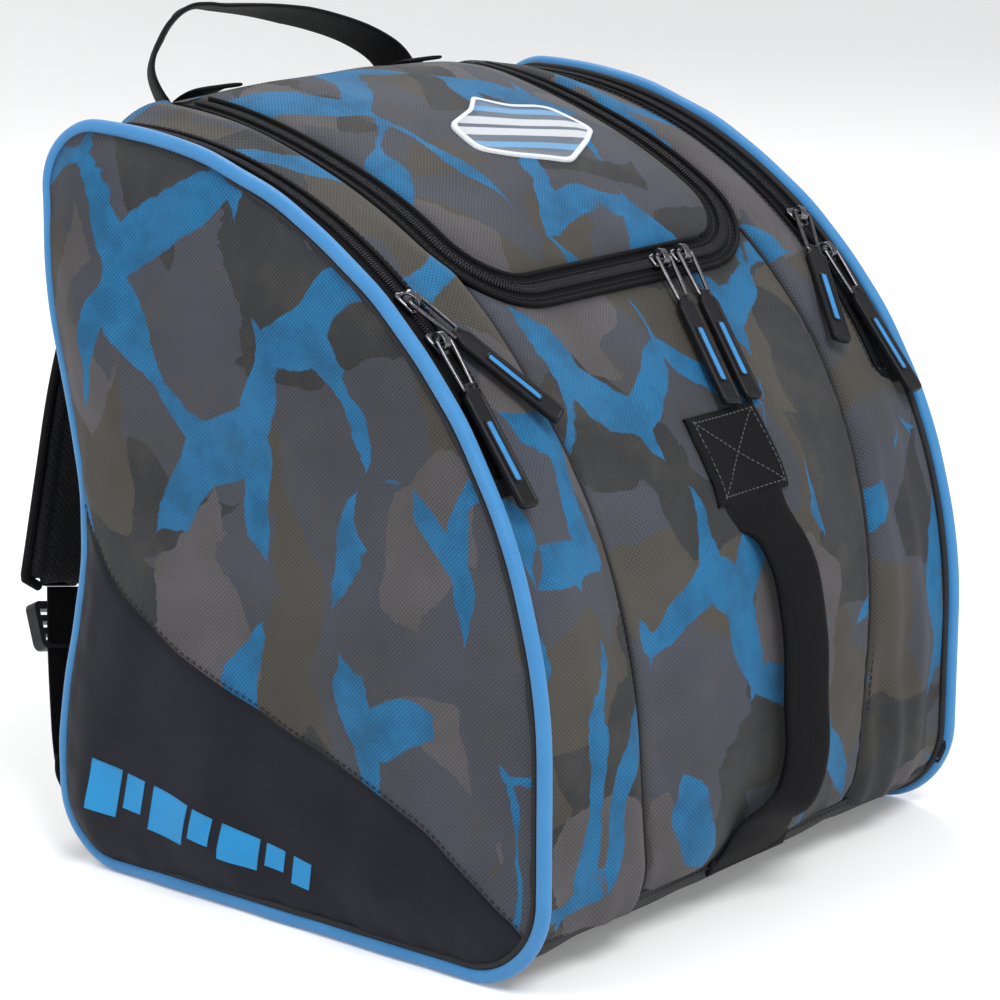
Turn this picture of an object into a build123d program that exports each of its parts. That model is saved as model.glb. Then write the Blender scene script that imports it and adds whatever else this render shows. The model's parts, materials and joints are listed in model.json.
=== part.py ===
"""Ski boot bag: a wedge-backed backpack with a centre helmet compartment and two boot compartments.

Row frame, millimetres: +Z up, front of the bag towards -Y, width along X.
The origin is the centre of the flat base pad, on the surface that the bag stands on.
Every shell panel follows one side outline in the YZ plane: a flat base, a straight back,
three rounded corners and one large front arc, which the zips and their sliders run along.
"""
from build123d import *
import math
import os

os.makedirs("parts", exist_ok=True)

# ---- driving dimensions -------------------------------------------------------------------
outline_depth = 314.0       # front to back, between piping centre lines
outline_height = 380.0      # bottom to top, between piping centre lines
outline_half_width = 176.0  # centre of the bag to a piping centre line
front_arc_radius = 274.0
corner_top_back = 35.0
corner_bottom_back = 38.0
corner_bottom_front = 45.0

piping_radius = 4.0
skin_inset = 2.0            # shell surface below the piping centre line
wall = 5.0                  # padded fabric
divider_wall = 2.4
fit_gap = 0.3               # between pieces on different bodies
sewn_gap = 0.1              # between neighbouring panels of one body

seam_beyond_lid = 3.0        # gusset seams outside the lid zip's coil
divider_low_x = 63.0        # the soft dividers bow in around the boots below the lid's opening
divider_bend_z = (205.0, 288.0)
back_seam_z = 350.0         # where the top strips meet the back panel
base_lip_z = 20.0           # how far the base wraps up the walls
stiffener_thickness = 3.0

fold_z = 242.0              # height of the fold line of the two boot flaps
side_zip_x = 160.0
side_zip_half_width = 8.0

lid_half_width = 110.0      # centre to the lid zip's coil
lid_front_angle = 47.5      # degrees up the front arc to the coil along the lid's front
lid_corner_radius = 42.0
lid_zip_half_width = 9.0
lid_hinge_y = 122.0
lid_view_angle = 55.0       # direction that the lid's outline is drawn from
badge_angle = 68.0
badge_x = 20.0
badge_radii = (49.0, 34.0)
badge_thickness = 1.2

tape_thickness = 1.2
tape_inset = 3.0
coil_inset = 0.8
coil_half_width = 3.2
coil_stop = 4.0             # coils end this far from the hinge

slider_plate = 1.6
slider_length = 13.0
slider_width = 11.6
slider_flange = 1.2
bridge_half_width = 2.2
bridge_half_length = 4.0
bridge_height = 4.5
pin_radius = 1.0
pin_clearance = 0.08
moulded_overlap = 0.02      # the tab is moulded onto its link
pin_height = 2.5            # pin centre above the slider's plate
wire_half_spread = 4.6
wire_length = 27.0
tab_length = 62.0
tab_width = 12.0
tab_thickness = 4.0
tab_neck_half_width = 3.2
tab_neck_length = 7.0
tab_slot_length = 30.0
tab_slot_width = 3.4
tab_slot_depth = 1.0

handle_webbing_width = 25.0
webbing_thickness = 2.4
handle_lean = 22.0          # degrees that the top handle leans back
handle_half_span = 75.0
handle_rise = 34.0
handle_pivot = 14.0         # swing axis above the bag, through the sewn ends
handle_lap = 20.0           # height of the fixed sewn ends

grab_webbing_width = 50.0
grab_patch_angles = (21.5, 28.5)
grab_patch_thickness = 2.8
grab_folded_width = 26.0    # the strap is folded double where the hand goes
grab_lean = 27.0            # degrees that the hanging strap falls to one side
grab_reach = 36.0           # how far the strap bows out from its swing axis
grab_axis_gap = 15.5        # swing axis off the front panel
root_height = 5.0

strap_pad_width = 60.0
strap_pad_thickness = 12.0
strap_top = (-80.0, 338.0)      # x, z of the left strap's upper end on the back
strap_bottom = (-146.0, 28.0)   # x, z of the left strap's lower anchor
strap_axis_gap = 19.0           # swing axis off the back panel
strap_reach = 40.0              # how far the strap bows out from its swing axis
strap_webbing_width = 25.0
strap_webbing_thickness = 2.0
buckle_width = 34.0
buckle_length = 26.0
buckle_thickness = 7.0

back_pad_width = 78.0
back_pad_height = 236.0
back_pad_thickness = 9.0
back_pad_x = 62.0
back_pad_z = 185.0

# ---- derived places -----------------------------------------------------------------------
centre_seam_x = lid_half_width + seam_beyond_lid   # centre panel meets the gussets
back_y = outline_depth / 2
front_y = -outline_depth / 2
bottom_z = piping_radius
top_z = bottom_z + outline_height
arc_y = front_y + front_arc_radius
arc_z = top_z - front_arc_radius
wall_inset = skin_inset + wall
side_outer_x = outline_half_width - skin_inset
side_inner_x = side_outer_x - wall
flap_axis_x = outline_half_width + piping_radius + fit_gap
lid_axis_z = top_z - skin_inset + fit_gap
far = 600.0


def outline_face(inset):
    """The side outline drawn `inset` inside the piping centre line, in the YZ plane."""
    low, high = bottom_z + inset, top_z - inset
    front, back = front_y + inset, back_y - inset
    front_corner = (front_y + corner_bottom_front, bottom_z + corner_bottom_front)
    back_corner = (back_y - corner_bottom_back, bottom_z + corner_bottom_back)
    top_corner = (back_y - corner_top_back, top_z - corner_top_back)
    edges = [
        Line((front_corner[0], low), (back_corner[0], low)),
        CenterArc(back_corner, corner_bottom_back - inset, 270, 90),
        Line((back, back_corner[1]), (back, top_corner[1])),
        CenterArc(top_corner, corner_top_back - inset, 0, 90),
        Line((top_corner[0], high), (arc_y, high)),
        CenterArc((arc_y, arc_z), front_arc_radius - inset, 90, 90),
        Line((front, arc_z), (front, front_corner[1])),
        CenterArc(front_corner, corner_bottom_front - inset, 180, 90),
    ]
    return Plane.YZ * make_face(Wire(edges).edges())


def slab(inset, x0, x1):
    """The whole outline as a solid between two widths."""
    return Pos(x0, 0, 0) * extrude(outline_face(inset), amount=x1 - x0)


def skin(outer, inner, x0, x1):
    """A layer of the shell, from `outer` to `inner` below the piping centre line."""
    return slab(outer, x0, x1) - slab(inner, x0, x1)


def block(x0, x1, y0, y1, z0, z1):
    return Pos((x0 + x1) / 2, (y0 + y1) / 2, (z0 + z1) / 2) * Box(x1 - x0, y1 - y0, z1 - z0)


def above(z):
    return block(-far, far, -far, far, z, far)


def below(z):
    return block(-far, far, -far, far, -far, z)


def arc_plane(angle, x, inset):
    """A plane on the front arc: its x runs across the bag, its y up the arc, its z outwards."""
    a = math.radians(angle)
    r = front_arc_radius - inset
    origin = (x, arc_y - r * math.cos(a), arc_z + r * math.sin(a))
    return Plane(origin=origin, x_dir=(1, 0, 0), z_dir=(0, -math.cos(a), math.sin(a)))


def arc_wedge(low_angle, high_angle, x0, x1):
    """Everything between two angles up the front arc."""
    reach = front_arc_radius * 1.3
    low, high = math.radians(low_angle), math.radians(high_angle)
    points = [
        (arc_y, arc_z),
        (arc_y - reach * math.cos(low), arc_z + reach * math.sin(low)),
        (arc_y - reach * math.cos(high), arc_z + reach * math.sin(high)),
    ]
    face = Plane.YZ * make_face(Polyline(*points, close=True))
    return Pos(x0, 0, 0) * extrude(face, amount=x1 - x0)


def lid_prism(spread):
    """The lid's rounded outline, `spread` outside its zip's coil, as a cutter."""
    a = math.radians(lid_view_angle)
    front = front_arc_radius * math.sin(math.radians(lid_front_angle - lid_view_angle)) - spread
    half = lid_half_width + spread
    start = front_arc_radius * 0.7
    plane = Plane(
        origin=(0, arc_y - start * math.cos(a), arc_z + start * math.sin(a)),
        x_dir=(1, 0, 0),
        z_dir=(0, -math.cos(a), math.sin(a)),
    )
    length = front_arc_radius
    face = Pos(0, front + length / 2) * Rectangle(2 * half, length)
    corners = face.vertices().sort_by(Axis.Y)[:2]
    face = fillet(corners, lid_corner_radius + spread)
    return extrude(plane * face, amount=front_arc_radius * 0.5) & block(
        -far, far, -far, lid_hinge_y, -far, far
    )


def ribbon(points, radii, width, thickness, side):
    """Webbing or padding along a flat path, its width lying along `side`."""
    path = FilletPolyline(*points, radius=radii)
    section = Plane(origin=path @ 0, x_dir=side, z_dir=path % 0) * Rectangle(width, thickness)
    return sweep(section, path=path)


def mirror_x(shape):
    return mirror(shape, about=Plane.YZ)


def save(name, shape):
    solids = shape.solids() if hasattr(shape, "solids") else [s for p in shape for s in p.solids()]
    export_step(Compound(list(solids)), f"parts/{name}.step")


# ---- shell --------------------------------------------------------------------------------
def base_panel():
    x = side_inner_x - sewn_gap
    tray = skin(skin_inset, wall_inset, -x, x) & below(base_lip_z)
    pad = block(
        -x, x, front_y + corner_bottom_front, back_y - corner_bottom_back, 0,
        bottom_z + skin_inset,
    )
    return tray + pad


def base_stiffener():
    z0 = bottom_z + wall_inset + sewn_gap
    x = side_inner_x - 2 * sewn_gap
    return block(
        -x, x, front_y + corner_bottom_front, back_y - corner_bottom_back, z0,
        z0 + stiffener_thickness,
    )


def back_panel():
    x = side_inner_x - sewn_gap
    back = block(-far, far, 0, far, base_lip_z + sewn_gap, back_seam_z)
    zip_edge = side_zip_x - side_zip_half_width
    panel = skin(skin_inset, wall_inset, -x, x) & back
    for x0, x1 in ((-far, -zip_edge), (zip_edge, far)):
        panel -= block(x0, x1, -far, far, fold_z, far)
    return panel


def top_yoke():
    x = centre_seam_x - sewn_gap
    behind = block(-far, far, lid_hinge_y + fit_gap, far, back_seam_z + sewn_gap, far)
    return skin(skin_inset, wall_inset, -x, x) & behind


def front_region():
    """The front and top of the shell, above the base and in front of the back panel."""
    front = block(-far, far, -far, 0, base_lip_z + sewn_gap, far)
    top = block(-far, far, 0, far, back_seam_z + sewn_gap, far)
    return front + top


def centre_front_panel():
    x = centre_seam_x - sewn_gap
    front = block(-far, far, -far, 0, base_lip_z + sewn_gap, far)
    strip = skin(skin_inset, wall_inset, -x, x) & front
    return strip - lid_prism(lid_zip_half_width)


def right_gusset():
    zip_edge = side_zip_x - side_zip_half_width
    whole = skin(skin_inset, wall_inset, centre_seam_x, side_inner_x - sewn_gap)
    beside_zip = block(zip_edge, far, -far, far, fold_z, far)
    return (whole & front_region()) - beside_zip - lid_prism(lid_zip_half_width)


def right_divider():
    """Soft wall that hangs from the lid's side and bows in around the boot."""
    z0 = bottom_z + wall_inset + stiffener_thickness + 2 * sewn_gap
    low, high = divider_low_x, centre_seam_x
    points = [(low, z0), (low, divider_bend_z[0]), (high, divider_bend_z[1]), (high, far)]
    line = Polyline(*points)
    outline = make_face(
        Polyline(*points, *[(x + divider_wall, z) for x, z in reversed(points)], close=True)
    )
    wall_prism = extrude(Plane.XZ * outline, amount=far, both=True)
    return slab(wall_inset + sewn_gap, low - wall, line.bounding_box().max.X + wall) & wall_prism


def lower_panel_region():
    """Below the curved seam that joins the plain lower panel to the patterned one."""
    seam = Spline(
        (back_y + wall, top_z * 0.535),
        (back_y * 0.61, top_z * 0.385),
        (0, top_z * 0.265),
        (front_y * 0.55, top_z * 0.182),
        (front_y - wall, top_z * 0.03),
    )
    rest = Polyline(seam @ 1, (front_y - wall, -wall), (back_y + wall, -wall), seam @ 0)
    face = Plane.YZ * make_face(Wire([seam, *rest.edges()]).edges())
    return Pos(-far / 2, 0, 0) * extrude(face, amount=far)


def right_wall_panels():
    """Plain lower panel, patterned panel up to the fold, and the flap above the fold."""
    panel = slab(skin_inset, side_inner_x, side_outer_x)
    region = lower_panel_region()
    lower = panel & region
    upper = (panel - region) & below(fold_z)
    flap = panel & above(fold_z + fit_gap)
    return lower, upper, flap


def right_piping():
    """Corded edging round the side panel, cut at the fold line."""
    ring = skin(-piping_radius, piping_radius, outline_half_width - piping_radius,
                outline_half_width + piping_radius)
    round_edges = [e for e in ring.edges() if e.length > piping_radius]
    ring = fillet(round_edges, piping_radius * 0.93)
    clear = slab(skin_inset, 0, side_outer_x + sewn_gap)
    ring = ring - clear
    return ring & below(fold_z), ring & above(fold_z + fit_gap)


# ---- zips ---------------------------------------------------------------------------------
def zip_half(x0, x1, coil_x0, coil_x1):
    tape = skin(tape_inset, tape_inset + tape_thickness, x0, x1)
    coil = skin(coil_inset, tape_inset, coil_x0, coil_x1)
    return tape + coil


def right_side_zip():
    """The fixed half on the gusset and the half on the flap, above the fold."""
    half_gap = fit_gap / 2
    fixed = zip_half(
        side_zip_x - side_zip_half_width + sewn_gap, side_zip_x - half_gap,
        side_zip_x - coil_half_width, side_zip_x - half_gap,
    ) & above(fold_z + fit_gap)
    moving = zip_half(
        side_zip_x + half_gap, side_inner_x - sewn_gap,
        side_zip_x + half_gap, side_zip_x + coil_half_width,
    ) & above(fold_z + fit_gap)
    return fixed, moving


def lid_zip():
    half_gap = fit_gap / 2
    wide = outline_half_width
    in_front = block(-far, far, -far, lid_hinge_y - coil_stop, -far, far)
    tape = skin(tape_inset, tape_inset + tape_thickness, -wide, wide)
    coil = skin(coil_inset, tape_inset, -wide, wide)

    def band(layer, outer, inner):
        return (layer & (lid_prism(outer) - lid_prism(inner))) & in_front

    fixed = band(tape, lid_zip_half_width - sewn_gap, half_gap) + band(
        coil, coil_half_width, half_gap
    )
    moving = band(tape, -half_gap, -lid_zip_half_width + sewn_gap) + band(
        coil, -half_gap, -coil_half_width
    )
    return fixed, moving


def lid_panel():
    return skin(skin_inset, wall_inset, -outline_half_width, outline_half_width) & lid_prism(
        -lid_zip_half_width
    )


def lid_badge():
    """Plain oval badge sewn on the lid."""
    plane = arc_plane(badge_angle, badge_x, skin_inset)
    prism = extrude(plane * Ellipse(*badge_radii), amount=20, both=True)
    return skin(skin_inset - badge_thickness, skin_inset, -far / 4, far / 4) & prism


def slider(length_x, length_y, flange_side):
    """Slider body in its own frame: z outwards from the coil's top, pin hole along x.

    Its guide is on the side of the opening half alone, which is the half that it rides on.
    """
    z0 = fit_gap
    top = z0 + slider_plate
    plate = Pos(0, 0, z0 + slider_plate / 2) * Box(length_x, length_y, slider_plate)
    plate = fillet(plate.edges().filter_by(Axis.Z), 2.2)
    drop = tape_inset - coil_inset - fit_gap
    if length_x > length_y:
        flange = Box(length_x - 5, slider_flange, drop)
        plate += Pos(0, flange_side * (length_y - slider_flange) / 2, z0 - drop / 2) * flange
    else:
        flange = Box(slider_flange, length_y - 5, drop)
        plate += Pos(flange_side * (length_x - slider_flange) / 2, 0, z0 - drop / 2) * flange
    bridge = Pos(0, 0, top + bridge_height / 2) * Box(
        2 * bridge_half_width, 2 * bridge_half_length, bridge_height
    )
    bridge = fillet(bridge.edges().filter_by(Axis.X).sort_by(Axis.Z)[-2:], 1.6)
    hole = Pos(0, 0, top + pin_height) * Rot(0, 90, 0) * Cylinder(
        pin_radius + pin_clearance, 4 * bridge_half_width
    )
    return plate + (bridge - hole)


def pull_wire():
    """Closed wire link in the pull's frame: pin on the x axis at the origin, hanging along -y."""
    s, r = wire_half_spread, pin_radius
    shape = None
    for y in (0, -wire_length):
        bar = Pos(0, y, 0) * Rot(0, 90, 0) * Cylinder(r, 2 * s)
        shape = bar if shape is None else shape + bar
    for x in (-s, s):
        shape += Pos(x, -wire_length / 2, 0) * Rot(90, 0, 0) * Cylinder(r, wire_length)
        for y in (0, -wire_length):
            shape += Pos(x, y, 0) * Sphere(r)
    return shape


def pull_tab():
    """Moulded tab on the link's lower bar, with a long recess down its face."""
    top = -wire_length + pin_radius + 2
    shoulder = top - tab_neck_length
    end = -wire_length - tab_length
    neck = Pos(0, (top + shoulder) / 2, 0) * Box(
        2 * tab_neck_half_width, top - shoulder + 2, tab_thickness
    )
    neck = fillet(neck.edges().filter_by(Axis.X).sort_by(Axis.Y)[-2:], tab_thickness * 0.45)
    body = Pos(0, (shoulder + end) / 2, 0) * Box(tab_width, shoulder - end, tab_thickness)
    body = fillet(body.edges().filter_by(Axis.Z), 2.5)
    body = chamfer(body.faces().sort_by(Axis.Z)[-1].edges(), 0.6)
    slot = Pos(0, shoulder - 14 - tab_slot_length / 2, tab_thickness / 2) * Box(
        tab_slot_width, tab_slot_length, 2 * tab_slot_depth
    )
    slot = fillet(slot.edges().filter_by(Axis.Z), tab_slot_width * 0.45)
    hole = Pos(0, -wire_length, 0) * Rot(0, 90, 0) * Cylinder(
        pin_radius - moulded_overlap, 2 * tab_width
    )
    return neck + body - slot - hole


# Each zip pull: name, angle up the arc, x, sideways turn, tilt onto the fabric, runs along x,
# and the side of the slider that its guide is on.
pulls = [
    ("lid_left", lid_front_angle, 28.0, -12.0, 6.0, True, 1),
    ("lid_right", lid_front_angle, 46.0, -12.0, 6.0, True, 1),
    ("left_upper", 49.0, -side_zip_x, 28.0, 4.0, False, -1),
    ("left_lower", 43.8, -side_zip_x, -2.0, 6.0, False, -1),
    ("right_upper", 49.0, side_zip_x, -28.0, 4.0, False, 1),
    ("right_lower", 43.8, side_zip_x, 2.0, 6.0, False, 1),
]


def place_pull(angle, x, turn, tilt, along_x, flange_side):
    """Slider, wire and tab where they rest on the bag."""
    seat = arc_plane(angle, x, coil_inset)
    pivot = arc_plane(angle, x, coil_inset - fit_gap - slider_plate - pin_height)
    long_x = slider_length if along_x else slider_width
    long_y = slider_width if along_x else slider_length
    bridge_turn = Rot(0, 0, turn)
    rest = pivot.location * bridge_turn * Rot(tilt, 0, 0)
    body = slider(long_x, long_y, flange_side)
    if turn:
        flat = body & block(-far, far, -far, far, -far, fit_gap + slider_plate)
        raised = body & block(-far, far, -far, far, fit_gap + slider_plate, far)
        body = flat + bridge_turn * raised
    return seat.location * body, rest * pull_wire(), rest * pull_tab()


# ---- webbing ------------------------------------------------------------------------------
def handle_frame():
    """Foot of the top handle on the rounded top back edge: its centre and its lean."""
    lean = math.radians(handle_lean)
    corner = (back_y - corner_top_back, top_z - corner_top_back)
    reach = (corner_top_back - skin_inset)
    foot = (corner[0] + reach * math.sin(2 * lean), corner[1] + reach * math.cos(2 * lean))
    up = (0, math.sin(lean), math.cos(lean))
    across = (0, math.cos(lean), -math.sin(lean))
    return foot, up, across


def handle_point(x, rise):
    foot, up, _ = handle_frame()
    return (x, foot[0] + up[1] * rise, foot[1] + up[2] * rise)


def handle_pieces():
    """Fixed sewn ends outside, and the loop that swings between them."""
    _, _, across = handle_frame()
    h, pivot, rise = handle_half_span, handle_pivot, handle_rise
    solid = slab(skin_inset, -outline_half_width, outline_half_width)
    anchors = []
    ends = []
    for side in (-1, 1):
        lap_x = side * (h + webbing_thickness + fit_gap)
        a = Vector(handle_point(lap_x, -handle_pivot))
        b = Vector(handle_point(lap_x, handle_lap))
        section = Plane(origin=a, x_dir=across, z_dir=b - a) * Rectangle(
            handle_webbing_width, webbing_thickness
        )
        anchors.append(extrude(section, amount=(b - a).length) - solid)
        disc = Plane(origin=handle_point(side * h, pivot), x_dir=across, z_dir=(1, 0, 0))
        ends.append(extrude(disc * Circle(handle_webbing_width / 2),
                            amount=webbing_thickness / 2, both=True))
    points = [
        handle_point(-h, pivot), handle_point(-h, pivot + 0.42 * rise),
        handle_point(-h * 0.45, pivot + rise), handle_point(h * 0.5, pivot + 0.8 * rise),
        handle_point(h, pivot + 0.3 * rise), handle_point(h, pivot),
    ]
    loop = ribbon(points, [7, 20, 60, 5], handle_webbing_width, webbing_thickness, across)
    return anchors, loop + ends[0] + ends[1]


def grab_patch():
    low, high = grab_patch_angles
    half = grab_webbing_width / 2
    layer = skin(skin_inset - grab_patch_thickness, skin_inset, -half, half)
    return layer & arc_wedge(low, high, -half, half)


def front_line(z):
    """A point on the front panel's surface, on the centre line, at height z."""
    if z >= arc_z:
        r = front_arc_radius - skin_inset
        return Vector(0, arc_y - math.sqrt(r ** 2 - (z - arc_z) ** 2), z)
    r = corner_bottom_front - skin_inset
    drop = max(0.0, bottom_z + corner_bottom_front - z)
    return Vector(0, front_y + corner_bottom_front - math.sqrt(r ** 2 - drop ** 2), z)


def grab_axis():
    """The two ends of the line that the hanging strap swings about."""
    top = arc_plane(grab_patch_angles[0], 0, skin_inset).origin
    low = front_line(base_lip_z + 2 * root_height)
    off = Vector(0, -grab_axis_gap, 0)
    return low + off, Vector(0, top.Y, top.Z - root_height) + off


def grab_strap():
    """The hanging strap: bowed off the panel and fallen to one side."""
    lean = math.radians(grab_lean)
    low, high = grab_axis()
    line = (high - low).normalized()
    out = Vector(math.sin(lean), -math.cos(lean), 0)
    out = (out - line * out.dot(line)).normalized()
    side = line.cross(out)

    def at(share, reach):
        return low + (high - low) * share + out * (grab_reach * reach)

    points = [at(1, 0), at(0.97, 0), at(0.88, 0.72), at(0.62, 1), at(0.3, 0.94), at(0.05, 0), at(0, 0)]
    return ribbon(points, [5, 12, 60, 40, 5], grab_folded_width, 2 * webbing_thickness, side)


def grab_roots():
    """Folded webbing that stands off the panel and holds each end of the hanging strap."""
    low, high = grab_axis()
    line = (high - low).normalized()
    solid = slab(skin_inset, -outline_half_width, outline_half_width) + grab_patch()
    roots = []
    for end, step in ((low, -1), (high, 1)):
        near = end + line * (step * fit_gap)
        plane = Plane(origin=near, x_dir=(1, 0, 0), z_dir=line * step)
        depth = 2 * grab_axis_gap
        face = plane * Pos(0, step * (depth / 2 - webbing_thickness)) * Rectangle(grab_folded_width, depth)
        roots.append(extrude(face, amount=root_height) - solid)
    return [max(root.solids(), key=lambda s: -s.center().Y) for root in roots]


def strap_axis():
    """The lower and upper ends of the line that the left shoulder strap swings about."""
    y = back_y - skin_inset + strap_axis_gap
    return Vector(strap_bottom[0], y, strap_bottom[1]), Vector(strap_top[0], y, strap_top[1])


def strap_point(share, reach):
    """A point behind the swing line, `share` of the way up it."""
    low, high = strap_axis()
    return low + (high - low) * share + Vector(0, reach * strap_reach, 0)


def strap_side():
    low, high = strap_axis()
    return (high - low).normalized().cross(Vector(0, 1, 0)).normalized()


def left_strap():
    side = strap_side()
    pad_end = strap_point(0.3, 1.12)
    pad = ribbon(
        [strap_point(1, 0), strap_point(0.975, 0), strap_point(0.87, 0.62), strap_point(0.62, 1),
         pad_end],
        [12, 60, 120], strap_pad_width, strap_pad_thickness, side,
    )
    tail_end = strap_point(0.05, 0.1)
    tail = (tail_end - pad_end).normalized()
    centre = pad_end + tail * (buckle_length / 2 + strap_pad_thickness / 2)
    frame = Plane(origin=centre, x_dir=side, z_dir=tail.cross(side))
    buckle = Box(buckle_width, buckle_length, buckle_thickness)
    buckle = fillet(buckle.edges().filter_by(Axis.Z), 4)
    slot_width = strap_webbing_width + 2
    for y in (-7.0, 0.0, 7.0):
        buckle -= Pos(0, y, 0) * Box(slot_width, 3.4, 3 * buckle_thickness)
    buckle = frame.location * buckle
    webbing = ribbon(
        [centre + tail * (buckle_length / 2 + 1), tail_end, strap_point(0.015, 0), strap_point(0, 0)],
        [12, 3], strap_webbing_width, strap_webbing_thickness, side,
    )
    return pad, buckle, webbing


def left_strap_roots():
    """The padded upper end and the webbing tab, both sewn into the back and fixed."""
    low, high = strap_axis()
    line = (high - low).normalized()
    roots = []
    sizes = ((low, -1, strap_webbing_width + 9, 16.0), (high, 1, strap_pad_width, 8.0))
    for end, step, width, height in sizes:
        near = end + line * (step * fit_gap)
        plane = Plane(origin=near, x_dir=strap_side(), z_dir=line * step)
        reach = strap_axis_gap + strap_pad_thickness / 2
        toward = 1 if plane.y_dir.Y > 0 else -1
        shift = toward * (strap_pad_thickness / 2 - reach / 2)
        face = plane * Pos(0, shift) * Rectangle(width, reach)
        root = extrude(face, amount=height)
        roots.append(root - slab(skin_inset, -outline_half_width, outline_half_width))
    return roots


def back_pads():
    """Two mesh-covered foam columns and a lumbar block on the back panel."""
    pads = []
    y0 = back_y - skin_inset
    for side in (-1, 1):
        pad = Pos(side * back_pad_x, y0 + back_pad_thickness / 2, back_pad_z) * Box(
            back_pad_width, back_pad_thickness, back_pad_height
        )
        pad = fillet(pad.edges().filter_by(Axis.Y), 14)
        pads.append(fillet(pad.faces().sort_by(Axis.Y)[-1].edges(), 4))
    return pads


# ---- build and write ----------------------------------------------------------------------
def main():
    save("base_panel", base_panel())
    save("base_stiffener", base_stiffener())
    save("back_panel", back_panel())
    save("back_pads", back_pads())
    save("top_yoke", top_yoke())
    save("centre_front_panel", centre_front_panel())

    lower, upper, flap = right_wall_panels()
    edging, flap_edging = right_piping()
    zip_fixed, zip_moving = right_side_zip()
    right = {
        "gusset": right_gusset(), "divider": right_divider(), "lower_panel": lower,
        "side_panel": upper, "flap_panel": flap, "piping": edging, "flap_piping": flap_edging,
        "side_zip_fixed": zip_fixed, "side_zip_moving": zip_moving,
    }
    for name, shape in right.items():
        save("right_" + name, shape)
        save("left_" + name, mirror_x(shape))

    fixed, moving = lid_zip()
    save("lid_zip_fixed", fixed)
    save("lid_zip_moving", moving)
    save("lid_panel", lid_panel())
    save("lid_badge", lid_badge())

    for name, *place in pulls:
        body, wire, tab = place_pull(*place)
        save(f"{name}_slider", body)
        save(f"{name}_pull_wire", wire)
        save(f"{name}_pull_tab", tab)

    anchors, loop = handle_pieces()
    save("handle_anchors", anchors)
    save("top_handle", loop)
    save("grab_patch", grab_patch())
    save("grab_strap", grab_strap())
    save("grab_roots", grab_roots())

    pad, buckle, webbing = left_strap()
    left = {"shoulder_strap": pad, "strap_buckle": buckle, "strap_webbing": webbing}
    for name, shape in left.items():
        save("left_" + name, shape)
        save("right_" + name, mirror_x(shape))
    for side, flip in (("left", lambda shape: shape), ("right", mirror_x)):
        save(side + "_strap_roots", [flip(root) for root in left_strap_roots()])


main()
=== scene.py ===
import json
import math
import bmesh
import bpy
import numpy as np
from mathutils import Matrix, Vector


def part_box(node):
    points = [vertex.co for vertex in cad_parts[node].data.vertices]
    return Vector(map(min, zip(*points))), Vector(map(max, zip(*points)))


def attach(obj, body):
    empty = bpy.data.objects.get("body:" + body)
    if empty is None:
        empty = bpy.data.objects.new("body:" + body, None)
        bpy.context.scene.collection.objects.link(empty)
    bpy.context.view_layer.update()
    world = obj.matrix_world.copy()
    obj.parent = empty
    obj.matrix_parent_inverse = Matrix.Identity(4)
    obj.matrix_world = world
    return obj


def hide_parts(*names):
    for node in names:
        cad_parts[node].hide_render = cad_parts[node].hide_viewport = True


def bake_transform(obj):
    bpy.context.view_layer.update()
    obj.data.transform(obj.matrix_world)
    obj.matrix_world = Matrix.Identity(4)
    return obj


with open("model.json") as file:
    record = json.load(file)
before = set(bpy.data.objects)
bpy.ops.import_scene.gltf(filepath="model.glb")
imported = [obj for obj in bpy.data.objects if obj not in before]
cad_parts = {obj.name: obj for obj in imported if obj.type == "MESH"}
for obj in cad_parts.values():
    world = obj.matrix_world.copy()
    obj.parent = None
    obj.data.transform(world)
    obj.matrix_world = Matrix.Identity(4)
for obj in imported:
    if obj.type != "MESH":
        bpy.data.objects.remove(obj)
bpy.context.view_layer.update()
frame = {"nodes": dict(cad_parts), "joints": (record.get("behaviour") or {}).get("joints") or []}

joints = {j["name"]: j for j in frame["joints"]}
print("frame loaded")

# side outline of the bag, walked from the bottom forwards, up the front and down the back
shell = {
    "cord": 0.004, "arcRadius": 0.274, "topBack": 0.035, "bottomBack": 0.038, "bottomFront": 0.045,
    "skin": 0.002, "wall": 0.004, "lip": 0.026, "yokeEnd": 0.350, "fold": 0.242,
    "zipX": 0.160, "zipHalf": 0.008, "lidHalf": 0.110, "lidAngle": 47.5, "lidCorner": 0.042,
    "lidBand": 0.009, "hinge": 0.122, "seamTop": 0.113, "seamLow": 0.089, "sideCoilPitch": 0.0015,
    "stopHalf": 0.0085,
    "gussetEdge": 0.1735, "tapeEdge": 0.1722, "backEdge": 0.1715, "baseEdge": 0.1708, "padHalf": 0.160,
}
pipeLow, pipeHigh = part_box("left_piping")
frontY = pipeLow.y + shell["cord"]
backY = pipeHigh.y - shell["cord"]
lowZ = pipeLow.z + shell["cord"]
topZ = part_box("left_flap_piping")[1].z - shell["cord"]
halfX = -pipeLow.x - shell["cord"]
arcY = frontY + shell["arcRadius"]
arcZ = topZ - shell["arcRadius"]


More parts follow.
